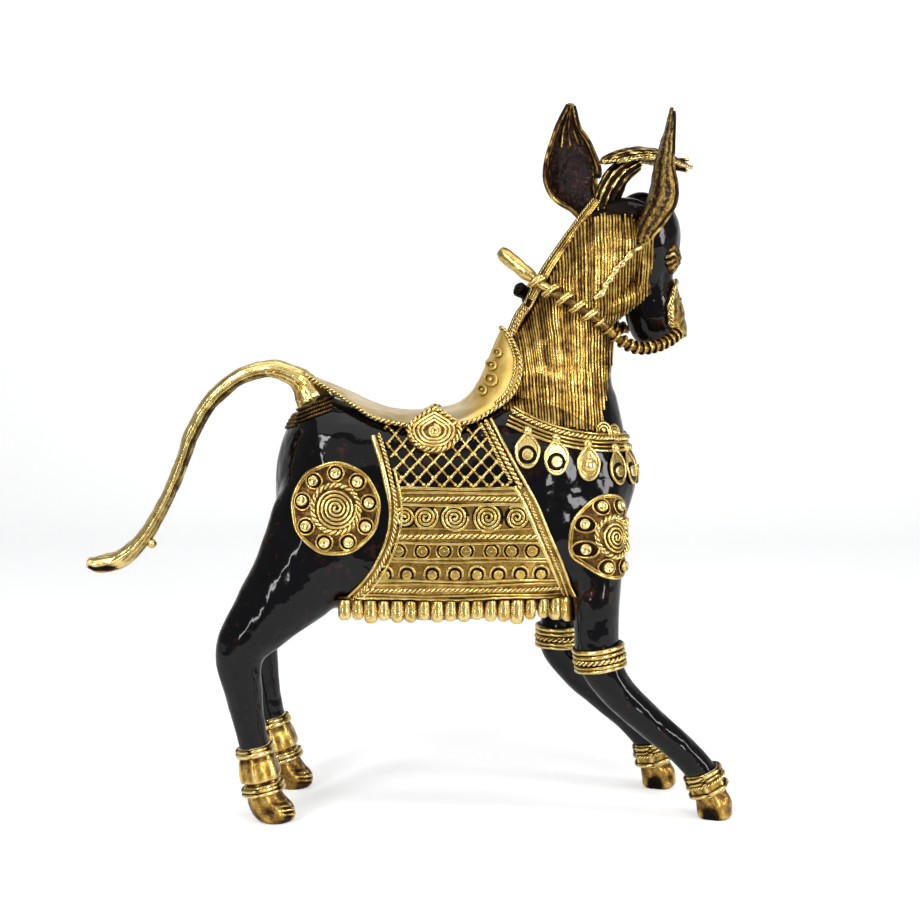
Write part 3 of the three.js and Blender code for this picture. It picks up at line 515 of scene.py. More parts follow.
def stud_tree(name):
    """Copies of one form set on the body, each standing on its normal with its top edge up."""
    tree, given, out = new_tree(name, {**LAY_SOCKETS, "Form": "Object", "Seed": "Int", "Spread": "Float"})
    points = node(tree, "GeometryNodeMeshToPoints", {"Mesh": given["Geometry"]}).outputs[0]
    points, target = laid(tree, given, points)
    up = named(tree, "up", "FLOAT_VECTOR")
    stand = node(tree, "FunctionNodeAlignRotationToVector", {"Vector": up}, axis="Z").outputs[0]
    level = node(tree, "FunctionNodeAlignRotationToVector", {"Rotation": stand, "Vector": (0, 0, 1)},
                 axis="Y", pivot_axis="Z").outputs[0]
    chance = node(tree, "FunctionNodeRandomValue", {"Seed": given["Seed"]}, data_type="FLOAT_VECTOR")
    plug(tree, chance.inputs[0], (-1, -1, -1))
    plug(tree, chance.inputs[1], (1, 1, 1))
    vary = vectors(tree, "ADD", (1, 1, 1), vectors(tree, "SCALE", chance.outputs[0], given["Spread"]))
    scale = vectors(tree, "SCALE", vary, named(tree, "weight"))
    form = node(tree, "GeometryNodeObjectInfo", {"Object": given["Form"]}).outputs["Geometry"]
    copies = {"Points": points, "Instance": form, "Rotation": level, "Scale": scale}
    dressed(tree, given, out, node(tree, "GeometryNodeInstanceOnPoints", copies).outputs[0], target)
    return tree


def plate_tree(name):
    """A flat sheet of wax pressed onto the body."""
    tree, given, out = new_tree(name, {**LAY_SOCKETS, "Tone": "Float"})
    sheet, target = laid(tree, given, given["Geometry"])
    dressed(tree, given, out, sheet, target, given["Tone"])
    return tree


WIRE_TREE = thread_tree("wax_wire", 1)
ROPE_TREE = thread_tree("wax_rope", 2)
STUD_TREE = stud_tree("wax_studs")
PLATE_TREE = plate_tree("wax_sheet")


def run_tree(obj, tree, values):
    """Sets a tree's named inputs by their identifiers, then keeps the result as a plain mesh."""
    modifier = obj.modifiers.new(tree.name, "NODES")
    modifier.node_group = tree
    for item in tree.interface.items_tree:
        if item.item_type == "SOCKET" and item.in_out == "INPUT" and item.name in values:
            modifier[item.identifier] = values[item.name]
    return settle(obj)


# Materials

class Paint:
    """A principled material and short ways to add nodes to it."""

    def __init__(self, name, **sockets):
        self.material = bpy.data.materials.new(name)
        self.material.use_nodes = True
        self.tree = self.material.node_tree
        self.shader = self.tree.nodes["Principled BSDF"]
        self.where = node(self.tree, "ShaderNodeTexCoord").outputs["Object"]
        for key, value in sockets.items():
            self.set(key.replace("_", " ").title().replace("Ior", "IOR"), value)

    def set(self, socket, value):
        plug(self.tree, self.shader.inputs[socket], value)

    def speckle(self, size, detail=3.0, rough=0.55, warp=0.0):
        """Noise with features of about this size in millimetres."""
        inputs = {"Vector": self.where, "Scale": 1 / (size * MM), "Detail": detail, "Roughness": rough,
                  "Distortion": warp}
        return node(self.tree, "ShaderNodeTexNoise", inputs).outputs["Fac"]

    def attribute(self, name):
        return node(self.tree, "ShaderNodeAttribute", attribute_name=name).outputs["Fac"]

    def band(self, value, low, high, start=0.0, end=1.0):
        inputs = {0: value, 1: low, 2: high, 3: start, 4: end}
        return node(self.tree, "ShaderNodeMapRange", inputs, interpolation_type="SMOOTHSTEP").outputs[0]

    def math(self, operation, *values):
        return sums(self.tree, operation, *values)

    def ramp(self, value, *stops):
        made = node(self.tree, "ShaderNodeValToRGB", {0: value})
        marks = made.color_ramp.elements
        while len(marks) < len(stops):
            marks.new(0.5)
        for mark, (at, colour) in zip(marks, stops):
            mark.position = at
            mark.color = (*colour, 1)
        return made.outputs[0]

    def mix(self, share, first, second):
        made = node(self.tree, "ShaderNodeMix", {0: share}, data_type="RGBA")
        for index, value in ((6, first), (7, second)):
            plug(self.tree, made.inputs[index], value if hasattr(value, "links") else (*value, 1))
        return made.outputs[2]

    def bump(self, height, distance, strength, under=None):
        inputs = {"Height": height, "Distance": distance * MM, "Strength": strength}
        if under:
            inputs["Normal"] = under
        return node(self.tree, "ShaderNodeBump", inputs).outputs[0]


# Colours of the brass by its wear, from the recesses to the rubbed tops
PATINA = (
    (0.05, (0.010, 0.006, 0.004)), (0.3, (0.062, 0.028, 0.010)), (0.52, (0.28, 0.155, 0.034)),
    (0.76, (0.60, 0.39, 0.085)), (1.0, (0.88, 0.68, 0.27)),
)


def antique_brass(name, low, high, blotch=0.9):
    """Brass rubbed bright on what stands out, with brown-black patina left in the recesses."""
    paint = Paint(name, metallic=0.92)
    worn = paint.band(paint.attribute("relief"), low * MM, high * MM)
    for size, detail, share in ((3.2, 4.0, blotch), (0.55, 3.0, 0.5)):
        stain = paint.math("SUBTRACT", paint.speckle(size, detail, 0.6), 0.5)
        worn = paint.math("ADD", worn, paint.math("MULTIPLY", stain, share))
    paint.set("Base Color", paint.ramp(worn, *PATINA))
    paint.set("Roughness", paint.band(worn, 0.1, 0.95, 0.50, 0.22))
    pits = paint.bump(paint.speckle(0.35, 2.0), 0.06, 0.5)
    paint.set("Normal", paint.bump(paint.speckle(1.6, 3.0), 0.16, 0.6, pits))
    return paint.material


ENAMEL_BLACKS = (0.0012, 0.0011, 0.0013), (0.0045, 0.004, 0.005)
ENAMEL_BROWNS = (0.012, 0.004, 0.002), (0.085, 0.024, 0.008)
FLECK_SHARE = 0.45


def black_enamel(name):
    """Thick glossy black enamel, thin and red-brown in spots, with an uneven, slightly pitted surface."""
    paint = Paint(name, roughness=0.08, specular_ior_level=0.27)
    thin = paint.band(paint.speckle(16, 3.0, 0.6, 0.6), 0.56, 0.70)
    fleck = paint.band(paint.speckle(2.2, 3.0, 0.65), 0.62, 0.72)
    black = paint.mix(paint.speckle(9, 2.0), *ENAMEL_BLACKS)
    brown = paint.mix(paint.speckle(1.2, 3.0), *ENAMEL_BROWNS)
    share = paint.math("MULTIPLY", thin, paint.band(paint.speckle(3.0, 4.0), 0.44, 0.64))
    share = paint.math("MAXIMUM", share, paint.math("MULTIPLY", fleck, FLECK_SHARE))
    paint.set("Base Color", paint.mix(share, black, brown))
    peel = paint.bump(paint.speckle(1.8, 2.0, 0.5), 0.07, 0.4)
    paint.set("Normal", paint.bump(paint.speckle(7.5, 1.5, 0.4), 1.6, 0.6, peel))
    return paint.material


SEAT_TONES = (0.3, (0.64, 0.44, 0.18)), (0.55, (0.90, 0.70, 0.38)), (0.75, (0.98, 0.84, 0.55))
POMMEL_TONES = (0.3, (0.62, 0.38, 0.07)), (0.55, (0.88, 0.60, 0.15)), (0.75, (0.98, 0.78, 0.30))
POMMEL_FROM, POMMEL_FADE = 17, 8
NICK_TONE, RECESS_TONE = (0.10, 0.055, 0.02), (0.05, 0.028, 0.012)


def saddle_brass(name):
    """Smooth hammered sheet, satin, tan-gold on the seat and yellow on the pommel, with small dark nicks."""
    paint = Paint(name, metallic=0.74)
    cloud = paint.speckle(12, 4.0, 0.6)
    seat_tone, pommel_tone = (paint.ramp(cloud, *tones) for tones in (SEAT_TONES, POMMEL_TONES))
    along = node(paint.tree, "ShaderNodeSeparateXYZ", {0: paint.where}).outputs["X"]
    front = paint.band(along, POMMEL_FROM * MM, (POMMEL_FROM + POMMEL_FADE) * MM)
    tone = paint.mix(front, seat_tone, pommel_tone)
    nick = paint.band(paint.speckle(1.5, 4.0, 0.7), 0.64, 0.72)
    low = paint.band(paint.attribute("relief"), 0.25 * MM, 0.75 * MM)
    tone = paint.mix(nick, tone, NICK_TONE)
    paint.set("Base Color", paint.mix(low, RECESS_TONE, tone))
    paint.set("Roughness", paint.band(paint.speckle(4, 3.0), 0.3, 0.7, 0.28, 0.46))
    pits = paint.bump(paint.speckle(0.4), 0.05, 0.4)
    paint.set("Normal", paint.bump(paint.speckle(2.4, 3.0), 0.12, 0.5, pits))
    return paint.material


MAROONS = (0.46, (0.004, 0.0015, 0.0012)), (0.60, (0.035, 0.007, 0.004)), (0.76, (0.26, 0.10, 0.03))
WIPED_BRASS = (0.3, (0.10, 0.048, 0.014)), (0.62, (0.60, 0.39, 0.10))


def ear_enamel(name):
    """Maroon-black enamel wiped off the rim and the ridges, where brass shows."""
    paint = Paint(name, specular_ior_level=0.35)
    ragged = paint.math("SUBTRACT", paint.speckle(1.5, 4.0, 0.65), 0.5)
    broken = paint.math("ADD", paint.attribute("rim"), paint.math("MULTIPLY", ragged, 1.5))
    bare = paint.band(broken, 0.45, 0.8)
    red = paint.ramp(paint.speckle(1.2, 4.0, 0.7), *MAROONS)
    gold = paint.ramp(paint.speckle(1.0, 3.0), *WIPED_BRASS)
    paint.set("Base Color", paint.mix(bare, red, gold))
    paint.set("Metallic", paint.band(bare, 0.0, 1.0, 0.25, 1.0))
    paint.set("Roughness", paint.band(bare, 0.0, 1.0, 0.26, 0.34))
    paint.set("Normal", paint.bump(paint.speckle(1.5, 4.0, 0.6), 0.9, 0.9))
    return paint.material


CLAY_TONES = (0.3, (0.30, 0.19, 0.13)), (0.7, (0.52, 0.36, 0.26))


def baked_clay(name):
    paint = Paint(name, roughness=0.95)
    paint.set("Base Color", paint.ramp(paint.speckle(3, 5.0), *CLAY_TONES))
    paint.set("Normal", paint.bump(paint.speckle(1.2, 4.0), 0.3, 0.6))
    return paint.material


STAGE_TONES = (0.3, (0.90, 0.90, 0.90)), (0.7, (0.93, 0.93, 0.93))
STAGE_GLOW, STAGE_IN_GLOSS = 0.40, 0.25


def stage_white(name):
    """Matte white sweep that stays white to the camera and pale in reflections."""
    paint = Paint(name, roughness=0.9, specular_ior_level=0.1)
    paint.set("Base Color", paint.ramp(paint.speckle(160, 2.0), *STAGE_TONES))
    seen = node(paint.tree, "ShaderNodeLightPath").outputs
    mirrored = paint.math("MULTIPLY", seen["Is Glossy Ray"], STAGE_IN_GLOSS)
    direct = paint.math("MAXIMUM", seen["Is Camera Ray"], mirrored)
    direct = paint.math("MAXIMUM", direct, seen["Is Transmission Ray"])
    paint.set("Emission Color", (1, 1, 1, 1))
    paint.set("Emission Strength", paint.math("MULTIPLY", direct, STAGE_GLOW))
    return paint.material


ENAMEL = black_enamel("black_enamel")
BRASS = antique_brass("antique_brass", 0.32, 1.20)
HAIR_BRASS = antique_brass("hair_brass", -0.14, 0.90, 1.2)
TASSEL_BRASS = antique_brass("tassel_brass", 0.2, 2.8, 1.3)
CORD_BRASS = antique_brass("cord_brass", 0.50, 1.9, 0.7)
SADDLE_BRASS = saddle_brass("saddle_brass")
EAR_ENAMEL = ear_enamel("ear_enamel")
CLAY = baked_clay("baked_clay")


# Body and head skins

# Height and turn of the legs' edges, and width of the soft fillet where they leave the torso
LEG_EDGE, LEG_EDGE_TURN, FILLET = 0.075, 0.45, 5.0


def soft_square(angle, t):
    """Leg section with four edges that fade out towards the top."""
    return 1 + LEG_EDGE * (np.abs(np.cos(2 * angle + LEG_EDGE_TURN)) - 0.5) * min(1.0, t * 2)


def enamel_body():
    """Torso and legs fused into one skin, smoothed most where they meet."""
    skins = [skin(barrel(TORSO, 70, 96))]
    skins += [skin(limb(rows, 70, 40, section=soft_square)) for rows in LEGS.values()]
    made = solid_object("enamel_body", *skins)
    made.modifiers.new("fuse", "REMESH").voxel_size = VOXEL * MM
    settle(made)
    pairs = edge_pairs(made)
    set_coordinates(made, relaxed(coordinates(made), pairs, 10))
    torso, legs = (BVHTree.FromPolygons(*merged(part)) for part in (skins[:1], skins[1:]))
    points = coordinates(made)
    apart = np.array([max(torso.find_nearest(p)[3], legs.find_nearest(p)[3]) for p in points])
    blend = np.clip(1 - apart / FILLET, 0, 1)[:, None]
    set_coordinates(made, points + (relaxed(points, pairs, 60) - points) * blend)
    lumpy(made, 0.22, 9.0, 1)
    made.data.shade_smooth()
    return made


def head_skin():
    rows = [(*in_head(f, u), depth, width) for f, u, depth, width in HEAD]
    return skin(limb(rows, 60, 64, across=CHEEK))


body = enamel_body()
neck_parts = [skin(limb(NECK, 60, 72)), *(skin(limb(rows, 30, 48)) for rows in (THROAT, POLL))]
neck_core = solid_object("neck_core", *neck_parts)
head = solid_object("head_face", head_skin())


def backing_object(name, objects):
    """Hidden copy of the body that ornaments are laid on, with smoothed normals in skin."""
    parts = [(coordinates(o), [f.vertices for f in o.data.polygons]) for o in objects]
    made = mesh_object(name, *merged(parts))
    soft = relaxed(normals(made), edge_pairs(made), 6)
    write_attribute(made, "skin", soft / np.linalg.norm(soft, axis=1)[:, None], "FLOAT_VECTOR")
    made.hide_render = True
    return made


backing = backing_object("backing", [body, neck_core, head])
backing_tree = ray_tree(backing)


# Flat drawings, laid on the body by rays

class Facing:
    """A level direction that a flat drawing is cast along; the left side mirrors the right."""

    def __init__(self, side, at=(0, 0, 0), turn=0, tilt=0):
        angle, lean = math.radians(turn), math.radians(tilt)
        mirror = np.array((1, -side, 1))
        level = np.array((math.sin(angle), -math.cos(angle), 0))
        self.along = np.array((math.cos(angle), math.sin(angle), 0)) * mirror
        self.out = (level * math.cos(lean) + np.array((0, 0, math.sin(lean)))) * mirror
        self.up = (-level * math.sin(lean) + np.array((0, 0, math.cos(lean)))) * mirror
        self.at = np.array(at) * mirror

    def cast(self, flat):
        """Ray starts and aims of flat points, x along and z up."""
        flat = np.asarray(flat, float).reshape(-1, 2)
        start = self.at + np.outer(flat[:, 0], self.along) + self.out * REACH + np.outer(flat[:, 1], self.up)
        return start, np.tile(-self.out, (len(start), 1))


class Round:
    """Casting inwards all round an upright axis; flat points are degrees from the front and z."""

    def __init__(self, x):
        self.at = np.array((x, 0, 0))

    def cast(self, flat):
        flat = np.asarray(flat, float).reshape(-1, 2)
        angle = np.radians(flat[:, 0])
        out = np.column_stack([np.cos(angle), np.sin(angle), np.zeros(len(angle))])
        return self.at + out * REACH + np.outer(flat[:, 1], (0, 0, 1)), -out


# A rope's strand, twist and pitch for a weight of 1, and how much higher than a wire it lies
ROPE_STRAND, ROPE_TWIST, ROPE_PITCH, ROPE_LIFT = 0.56, 0.5, 4.0, 0.2
STUD_SEED, STUD_SPREAD = 3, 0.07


class Drawing:
    """Threads, ropes, studs and sheets of one ornament, drawn flat and then cast."""

    def __init__(self, name, facing=None, material=None, cling=True, backing_to=None, wobble=0.25,
                 aim=(0, 0, -1)):
        self.name, self.facing, self.cling, self.wobble, self.aim = name, facing, cling, wobble, aim
        self.material = material or BRASS
        self.backing = backing_to or backing
        self.threads = {"wire": [], "rope": []}
        self.studs = {}
        self.sheets = []

    def _points(self, points, aim=None):
        if self.cling:
            return self.facing.cast(points)
        points = np.asarray(points, float).reshape(-1, 3)
        aim = np.broadcast_to(np.asarray(self.aim if aim is None else aim, float), points.shape)
        return points, aim

    def wire(self, points, radius, closed=False, aim=None):
        self.threads["wire"].append((*self._points(points, aim), radius, closed))

    def rope(self, points, radius, closed=False, aim=None):
        self.threads["rope"].append((*self._points(points, aim), radius, closed))

    def stud(self, form, points, weight):
        starts, aims = self._points(points)
        self.studs.setdefault(form, []).append((starts, aims, np.broadcast_to(weight, len(starts))))

    def sheet(self, rows, thick, under=0.25, tone=0.56):
        """Rows of points, this thick and reaching this far under; a low tone is dark."""
        self.sheets.append((np.array(rows, float), thick, under, tone))

    def build(self, lift, step=0.34, sides=8):
        """Runs the trees and joins their meshes."""
        made = []
        shared = {
            "Backing": self.backing, "Material": self.material, "Cling": self.cling,
            "Wobble": self.wobble * MM,
        }
        sizes = {
            "wire": (WIRE_TREE, {
                "Radius": 1 * MM, "Step": step * MM, "Sides": sides, "Lift": lift * MM,
            }),
            "rope": (ROPE_TREE, {
                "Radius": ROPE_STRAND * MM, "Twist": ROPE_TWIST * MM, "Pitch": ROPE_PITCH * MM,
                "Step": 0.8 * step * MM, "Sides": sides - 1, "Lift": (lift + ROPE_LIFT) * MM,
            }),
        }
        for kind, strands in self.threads.items():
            if strands:
                tree, values = sizes[kind]
                guide = guide_object(f"{self.name}_{kind}", strands)
                made.append(run_tree(guide, tree, {**shared, **values}))
        for form, groups in self.studs.items():
            starts, aims, weights = (np.concatenate(parts) for parts in zip(*groups))
            guide = mesh_object(f"{self.name}_studs", starts)
            write_attribute(guide, "aim", aims, "FLOAT_VECTOR")
            write_attribute(guide, "weight", weights)
            values = {
                "Form": form, "Seed": STUD_SEED, "Spread": STUD_SPREAD, "Lift": lift * MM, "Wobble": 0.0,
            }
            made.append(run_tree(guide, STUD_TREE, {**shared, **values}))
        made += [self._sheet(*sheet, shared) for sheet in self.sheets]
        return joined(self.name, made)

    def _sheet(self, rows, thick, under, tone, shared):
        starts, aims = self._points(rows.reshape(-1, rows.shape[2]))
        obj = mesh_object(f"{self.name}_sheet", starts, grid_faces(*rows.shape[:2]))
        write_attribute(obj, "aim", aims, "FLOAT_VECTOR")
        run_tree(obj, PLATE_TREE, {**shared, "Lift": thick * MM, "Wobble": 0.0, "Tone": tone * MM})
        return walled(obj, thick + under, -1 if facing_out(obj) else 1)


def facing_out(obj):
    """True if a laid sheet's faces look away from the body."""
    return float((normals(obj) * read_attribute(obj, "up")).sum()) > 0


def guide_object(name, strands):
    """Edge mesh of polylines with their aims and weights."""
    points, aims, weights, edges = [], [], [], []
    for line, aim, radius, closed in strands:
        start = len(points)
        points.extend(line)
        aims.extend(aim)
        weights.extend(np.broadcast_to(radius, len(line)))
        edges.extend((start + i, start + i + 1) for i in range(len(line) - 1))
        if closed:
            edges.append((start + len(line) - 1, start))
    obj = mesh_object(name, points, edges=edges)
    write_attribute(obj, "aim", aims, "FLOAT_VECTOR")
    write_attribute(obj, "weight", weights)
    return obj


def circle(x, z, radius, count=28, start=0.0, sweep=360.0):
    closed = sweep >= 360
    steps = count if closed else count + 1
    angle = np.radians(start + sweep * np.arange(steps) / count)
    return np.column_stack([x + radius * np.cos(angle), z + radius * np.sin(angle)])


SPIRAL_CORE, SPIRAL_STEPS = 0.35, 18


def spiral(x, z, radius, turns, start):
    count = int(turns * SPIRAL_STEPS)
    share = np.arange(count + 1) / count
    angle = math.radians(start) + 2 * math.pi * turns * share
    reach = SPIRAL_CORE + (radius - SPIRAL_CORE) * share
    return np.column_stack([x + reach * np.cos(angle), z + reach * np.sin(angle)])


def drop(x, z, wide, high, count=40):
    """Teardrop outline with its point up."""
    angle = 2 * math.pi * np.arange(count) / count + math.pi / 2
    lift = np.sin(angle)
    pinch = np.where(lift > 0, 1 - 0.80 * lift ** 2, 1.0)
    return np.column_stack([x + wide * np.cos(angle) * pinch, z + high * lift])


def disc(art, x, z, radius, thick, tone):
    """Flat round of a tone."""
    art.sheet(polar_sheet((x, z), circle(x, z, radius, 24), 5), thick, tone=tone)


def offset(points, distance):
    """The polyline moved sideways, to the left of its run."""
    points = np.asarray(points, float)
    run = np.gradient(points, axis=0)
    run /= np.linalg.norm(run, axis=1)[:, None]
    return points + distance * np.column_stack([-run[:, 1], run[:, 0]])


def polar_sheet(centre, outline, rings):
    """Grid rows from a centre out to a closed outline."""
    outline = np.vstack([outline, outline[:1]])
    return [np.asarray(centre) + (outline - centre) * max(r / rings, 0.02) for r in range(rings + 1)]


# Small cast forms that are set in rows

def kept_form(name, rings):
    """Solid kept for instancing and not shown itself."""
    form = solid_object(name, skin(np.array(rings)))
    form.hide_render = True
    return form


def lathe_form(name, profile, sides=14):
    """Low form turned about Z; height and radius in millimetres."""
    angle = full_turn(sides)
    round_at = np.column_stack([np.cos(angle), np.sin(angle), np.zeros(sides)])
    return kept_form(name, [r * round_at + (0, 0, h) for h, r in profile])


BOSS_FORM = lathe_form("boss_form", [
    (-0.3, 1), (0.35, 1.0), (0.75, 0.86), (1.0, 0.62), (1.1, 0.3), (1.12, 0.08)])
FLAT_BOSS_FORM = lathe_form("flat_boss_form", [
    (-0.3, 1), (0.55, 1), (0.8, 0.88), (0.78, 0.7), (0.6, 0.5), (0.56, 0.1)])
BEAD_FORM = lathe_form("bead_form", [(-0.5, 0.7), (0, 1), (0.5, 0.87), (0.86, 0.5), (1, 0.1)], 12)
helpers = [backing, BOSS_FORM, FLAT_BOSS_FORM, BEAD_FORM]


# Saddle cloth, right side: borders as x and z, and how far in their rope and inner wire run
CLOTH_LEFT = curve([
    (-10.9, 131.4), (-8.3, 124.3), (-6.7, 117.7), (-5.3, 111.1), (-5.1, 104.4), (-6.4, 97.8), (-9.1, 91.1),
    (-13.4, 84.4), (-19.6, 77.9),
], 40)
CLOTH_RIGHT = curve([(28.4, 137), (35.3, 124), (42.7, 110.6), (47.9, 98.4), (57.1, 77.9)], 40)
CLOTH_ROPE_IN, CLOTH_WIRE_IN = 1.9, 3.7
CLOTH_LOW, LATTICE_LOW, LATTICE_HIGH, LATTICE_END = 77.6, 115.2, 137.5, 139
LATTICE_GAP, LATTICE_LEAN, LATTICE_FROM, LATTICE_IN = 5.2, 1.06, -14, (3.4, 4.2)
# Rows across the cloth: z and radius
CLOTH_WIRES = (
    (114.7, 0.6), (113.2, 0.55), (109.3, 0.6), (101.2, 0.44), (96.5, 0.58), (91.5, 0.52), (90.3, 0.5),
    (83.9, 0.55), (82.6, 0.5), (78.9, 0.5), (77.7, 0.6),
)
CLOTH_ROPES = ((111.3, 0.86), (98.8, 0.95), (80.8, 0.78))
# Ornaments: z of the row, then x, radius and first angle of each spiral, or x of each boss or arch
SPIRAL_Z = 105.1
SPIRALS = ((-0.4, 3.5, 0), (6.6, 4.1, 40), (16.2, 4.7, 200), (27.2, 5.0, 90), (36.8, 4.0, 150))
BOSS_Z, BOSSES = 93.9, (-2.4, 5.4, 12.7, 20.0, 28.4, 35.0, 41.9)
ARCH_Z, ARCHES = 86.2, (-6.9, 0.4, 8.8, 16.3, 23.6, 30.7, 38.0, 44.8)
SPIRAL_RIM, SPIRAL_TONE, SPIRAL_PITCH, SPIRAL_WIRE = 0.3, 0.36, 1.36, 0.56
# Bosses and arches: radius of the dark round, the bright one and the wire
BOSS_RADII, ARCH_RADII = (2.6, 1.8, 2.8), (2.5, 1.6, 2.7)
ARCH_SPAN, ARCH_LOWER = (-15, 210), 0.3
DARK_TONE, BRIGHT_TONE = 0.24, 0.92
# Radius of the wire on the left border by the number of the point, and the waves of wires and ropes
BORDER_RADIUS = (0, 12, 18, 40), (1.05, 0.95, 0.6, 0.6)
WIRE_WAVE, ROPE_WAVE, WAVE_RATE = 0.22, 0.12, 0.16


def edge_at(edge, z):
    """x of a border at a height."""
    order = np.argsort(edge[:, 1])
    return float(np.interp(z, edge[order, 1], edge[order, 0]))


def cloth_row(z, wave):
    """Level line across the cloth between its borders, a little wavy."""
    x = np.linspace(edge_at(CLOTH_LEFT, z) + CLOTH_WIRE_IN, edge_at(CLOTH_RIGHT, z) - CLOTH_WIRE_IN, 40)
    return np.column_stack([x, z + wave * np.sin(x * WAVE_RATE + z)])


def eyelet(art, x, z, dark, bright, lower=0.0):
    """Bright round on a dark one."""
    disc(art, x, z, dark, 0.5, DARK_TONE)
    disc(art, x, z - lower, bright, 0.9, BRIGHT_TONE)


def blanket(name, side):
    """Sheet with bordered edges, rows of wires, ropes, spirals, bosses and arches, and a lattice above."""
    art = Drawing(f"{name}_blanket_cast", Facing(side))
    across = 90
    rows = []
    for z in np.linspace(LATTICE_LOW, CLOTH_LOW, 84):
        x = np.linspace(edge_at(CLOTH_LEFT, z), edge_at(CLOTH_RIGHT, z), across)
        rows.append(np.column_stack([x, np.full(across, z)]))
    art.sheet(rows, 0.45, tone=0.80)
    inner_left, inner_right = offset(CLOTH_LEFT, CLOTH_WIRE_IN), offset(CLOTH_RIGHT, -CLOTH_WIRE_IN)
    rope_right = offset(CLOTH_RIGHT, -CLOTH_ROPE_IN)
    art.wire(CLOTH_LEFT, np.interp(np.arange(len(CLOTH_LEFT)), *BORDER_RADIUS))
    art.rope(offset(CLOTH_LEFT, CLOTH_ROPE_IN), 0.74)
    art.wire(inner_left[8:], 0.58)
    art.wire(CLOTH_RIGHT, 0.66)
    art.rope(rope_right[:17], 0.95)
    art.rope(rope_right[17:], 0.62)
    art.rope(inner_right[:15], 0.62)
    art.wire(inner_right[15:], 0.8)
    for z, radius in CLOTH_WIRES:
        art.wire(cloth_row(z, WIRE_WAVE), radius)
    for z, radius in CLOTH_ROPES:
        art.rope(cloth_row(z, ROPE_WAVE), radius)
    for x, radius, start in SPIRALS:
        disc(art, x, SPIRAL_Z, radius + SPIRAL_RIM, 0.5, SPIRAL_TONE)
        art.wire(spiral(x, SPIRAL_Z, radius, radius / SPIRAL_PITCH, start), SPIRAL_WIRE)
    for x in BOSSES:
        eyelet(art, x, BOSS_Z, *BOSS_RADII[:2])
        art.wire(circle(x, BOSS_Z, BOSS_RADII[2]), 0.4, closed=True)
    for x in ARCHES:
        eyelet(art, x, ARCH_Z, *ARCH_RADII[:2], ARCH_LOWER)
        art.wire(circle(x, ARCH_Z, ARCH_RADII[2], 18, *ARCH_SPAN), 0.52)
    lattice(art)
    return art.build(lift=0.5)


def lattice(art):
    """Crossed wires in the field under the saddle, with a grain where they meet."""
    z = np.linspace(LATTICE_LOW, LATTICE_END, 60)
    left = np.array([edge_at(CLOTH_LEFT, zi) for zi in z]) + LATTICE_IN[0]
    right = np.array([edge_at(CLOTH_RIGHT, zi) for zi in z]) - LATTICE_IN[1]
    for slope in (1, -1):
        for k in range(-4, 14):
            x = LATTICE_FROM + k * LATTICE_GAP + slope * (z - LATTICE_LOW) / LATTICE_LEAN
            run = np.column_stack([x, z])[(left < x) & (x < right) & (z < LATTICE_HIGH)]
            if len(run) > 4:
                art.wire(run, 0.52 if slope > 0 else 0.42)
                art.stud(BEAD_FORM, run[2::6], 0.72)


# Medallions: middle, radii, number of bosses, angle of the first boss, radius of the core
HIP = (-23.0, 108.0), (14.4, 15.0), 9, 90, 7.8
SHOULDER = (0, 98), (12.5, 13.8), 8, 110, 6.6
SHOULDER_AT, SHOULDER_TURN = (57.6, -11.6, 0), 43
RIM_WAVE, INNER_RIM, BOSS_RING, COIL_IN, COIL_PITCH = 0.008, 0.955, 0.775, 1.1, 1.4
# Each boss of a medallion: radius of the dark round, the wire and the boss
MEDAL_DISC, MEDAL_WIRE, MEDAL_BOSS = 2.5, 2.7, 1.85


def ring_of(count, centre, radii, start):
    angle = math.radians(start) + full_turn(count)
    return np.asarray(centre) + np.column_stack([radii[0] * np.cos(angle), radii[1] * np.sin(angle)])


def medallion(piece, facing, centre, radii, bosses, start, core):
    """Round plate: double rim, a ring of ringed bosses, a rope and a spiral."""
    art = Drawing(piece, facing)
    centre = np.array(centre, float)
    spokes = ring_of(72, centre, radii, 0) - centre
    turn = np.arctan2(*spokes.T[::-1]) - math.radians(start)
    spokes *= (1 + RIM_WAVE * np.cos(bosses * turn))[:, None]
    art.sheet(polar_sheet(centre, centre + spokes, 14), 0.5, tone=0.64)
    art.wire(centre + spokes, 0.5, closed=True)
    art.wire(centre + spokes * INNER_RIM, 0.36, closed=True)
    for x, z in ring_of(bosses, centre, [r * BOSS_RING for r in radii], start):
        disc(art, x, z, MEDAL_DISC, 0.55, DARK_TONE)
        art.wire(circle(x, z, MEDAL_WIRE), 0.4, closed=True)
        art.stud(FLAT_BOSS_FORM, [(x, z)], MEDAL_BOSS)
    art.rope(circle(*centre, core), 0.95, closed=True)
    coil = core - COIL_IN
    art.wire(spiral(*centre, coil, coil / COIL_PITCH, start), 0.54)
    return art.build(lift=0.55)


# Teardrop: place, tilt, half width and height, height over the saddle, and how much lower the left one is
DROP_AT, DROP_TILT, DROP_SIZE, DROP_PROUD, LEFT_DROP_LOWER = (9.4, -22, 132.2), 34, (9.0, 8.5), 0.7, 2.6
DROP_BULGE, DROP_COILS = 0.012, (0.74, 0.58, 0.43)


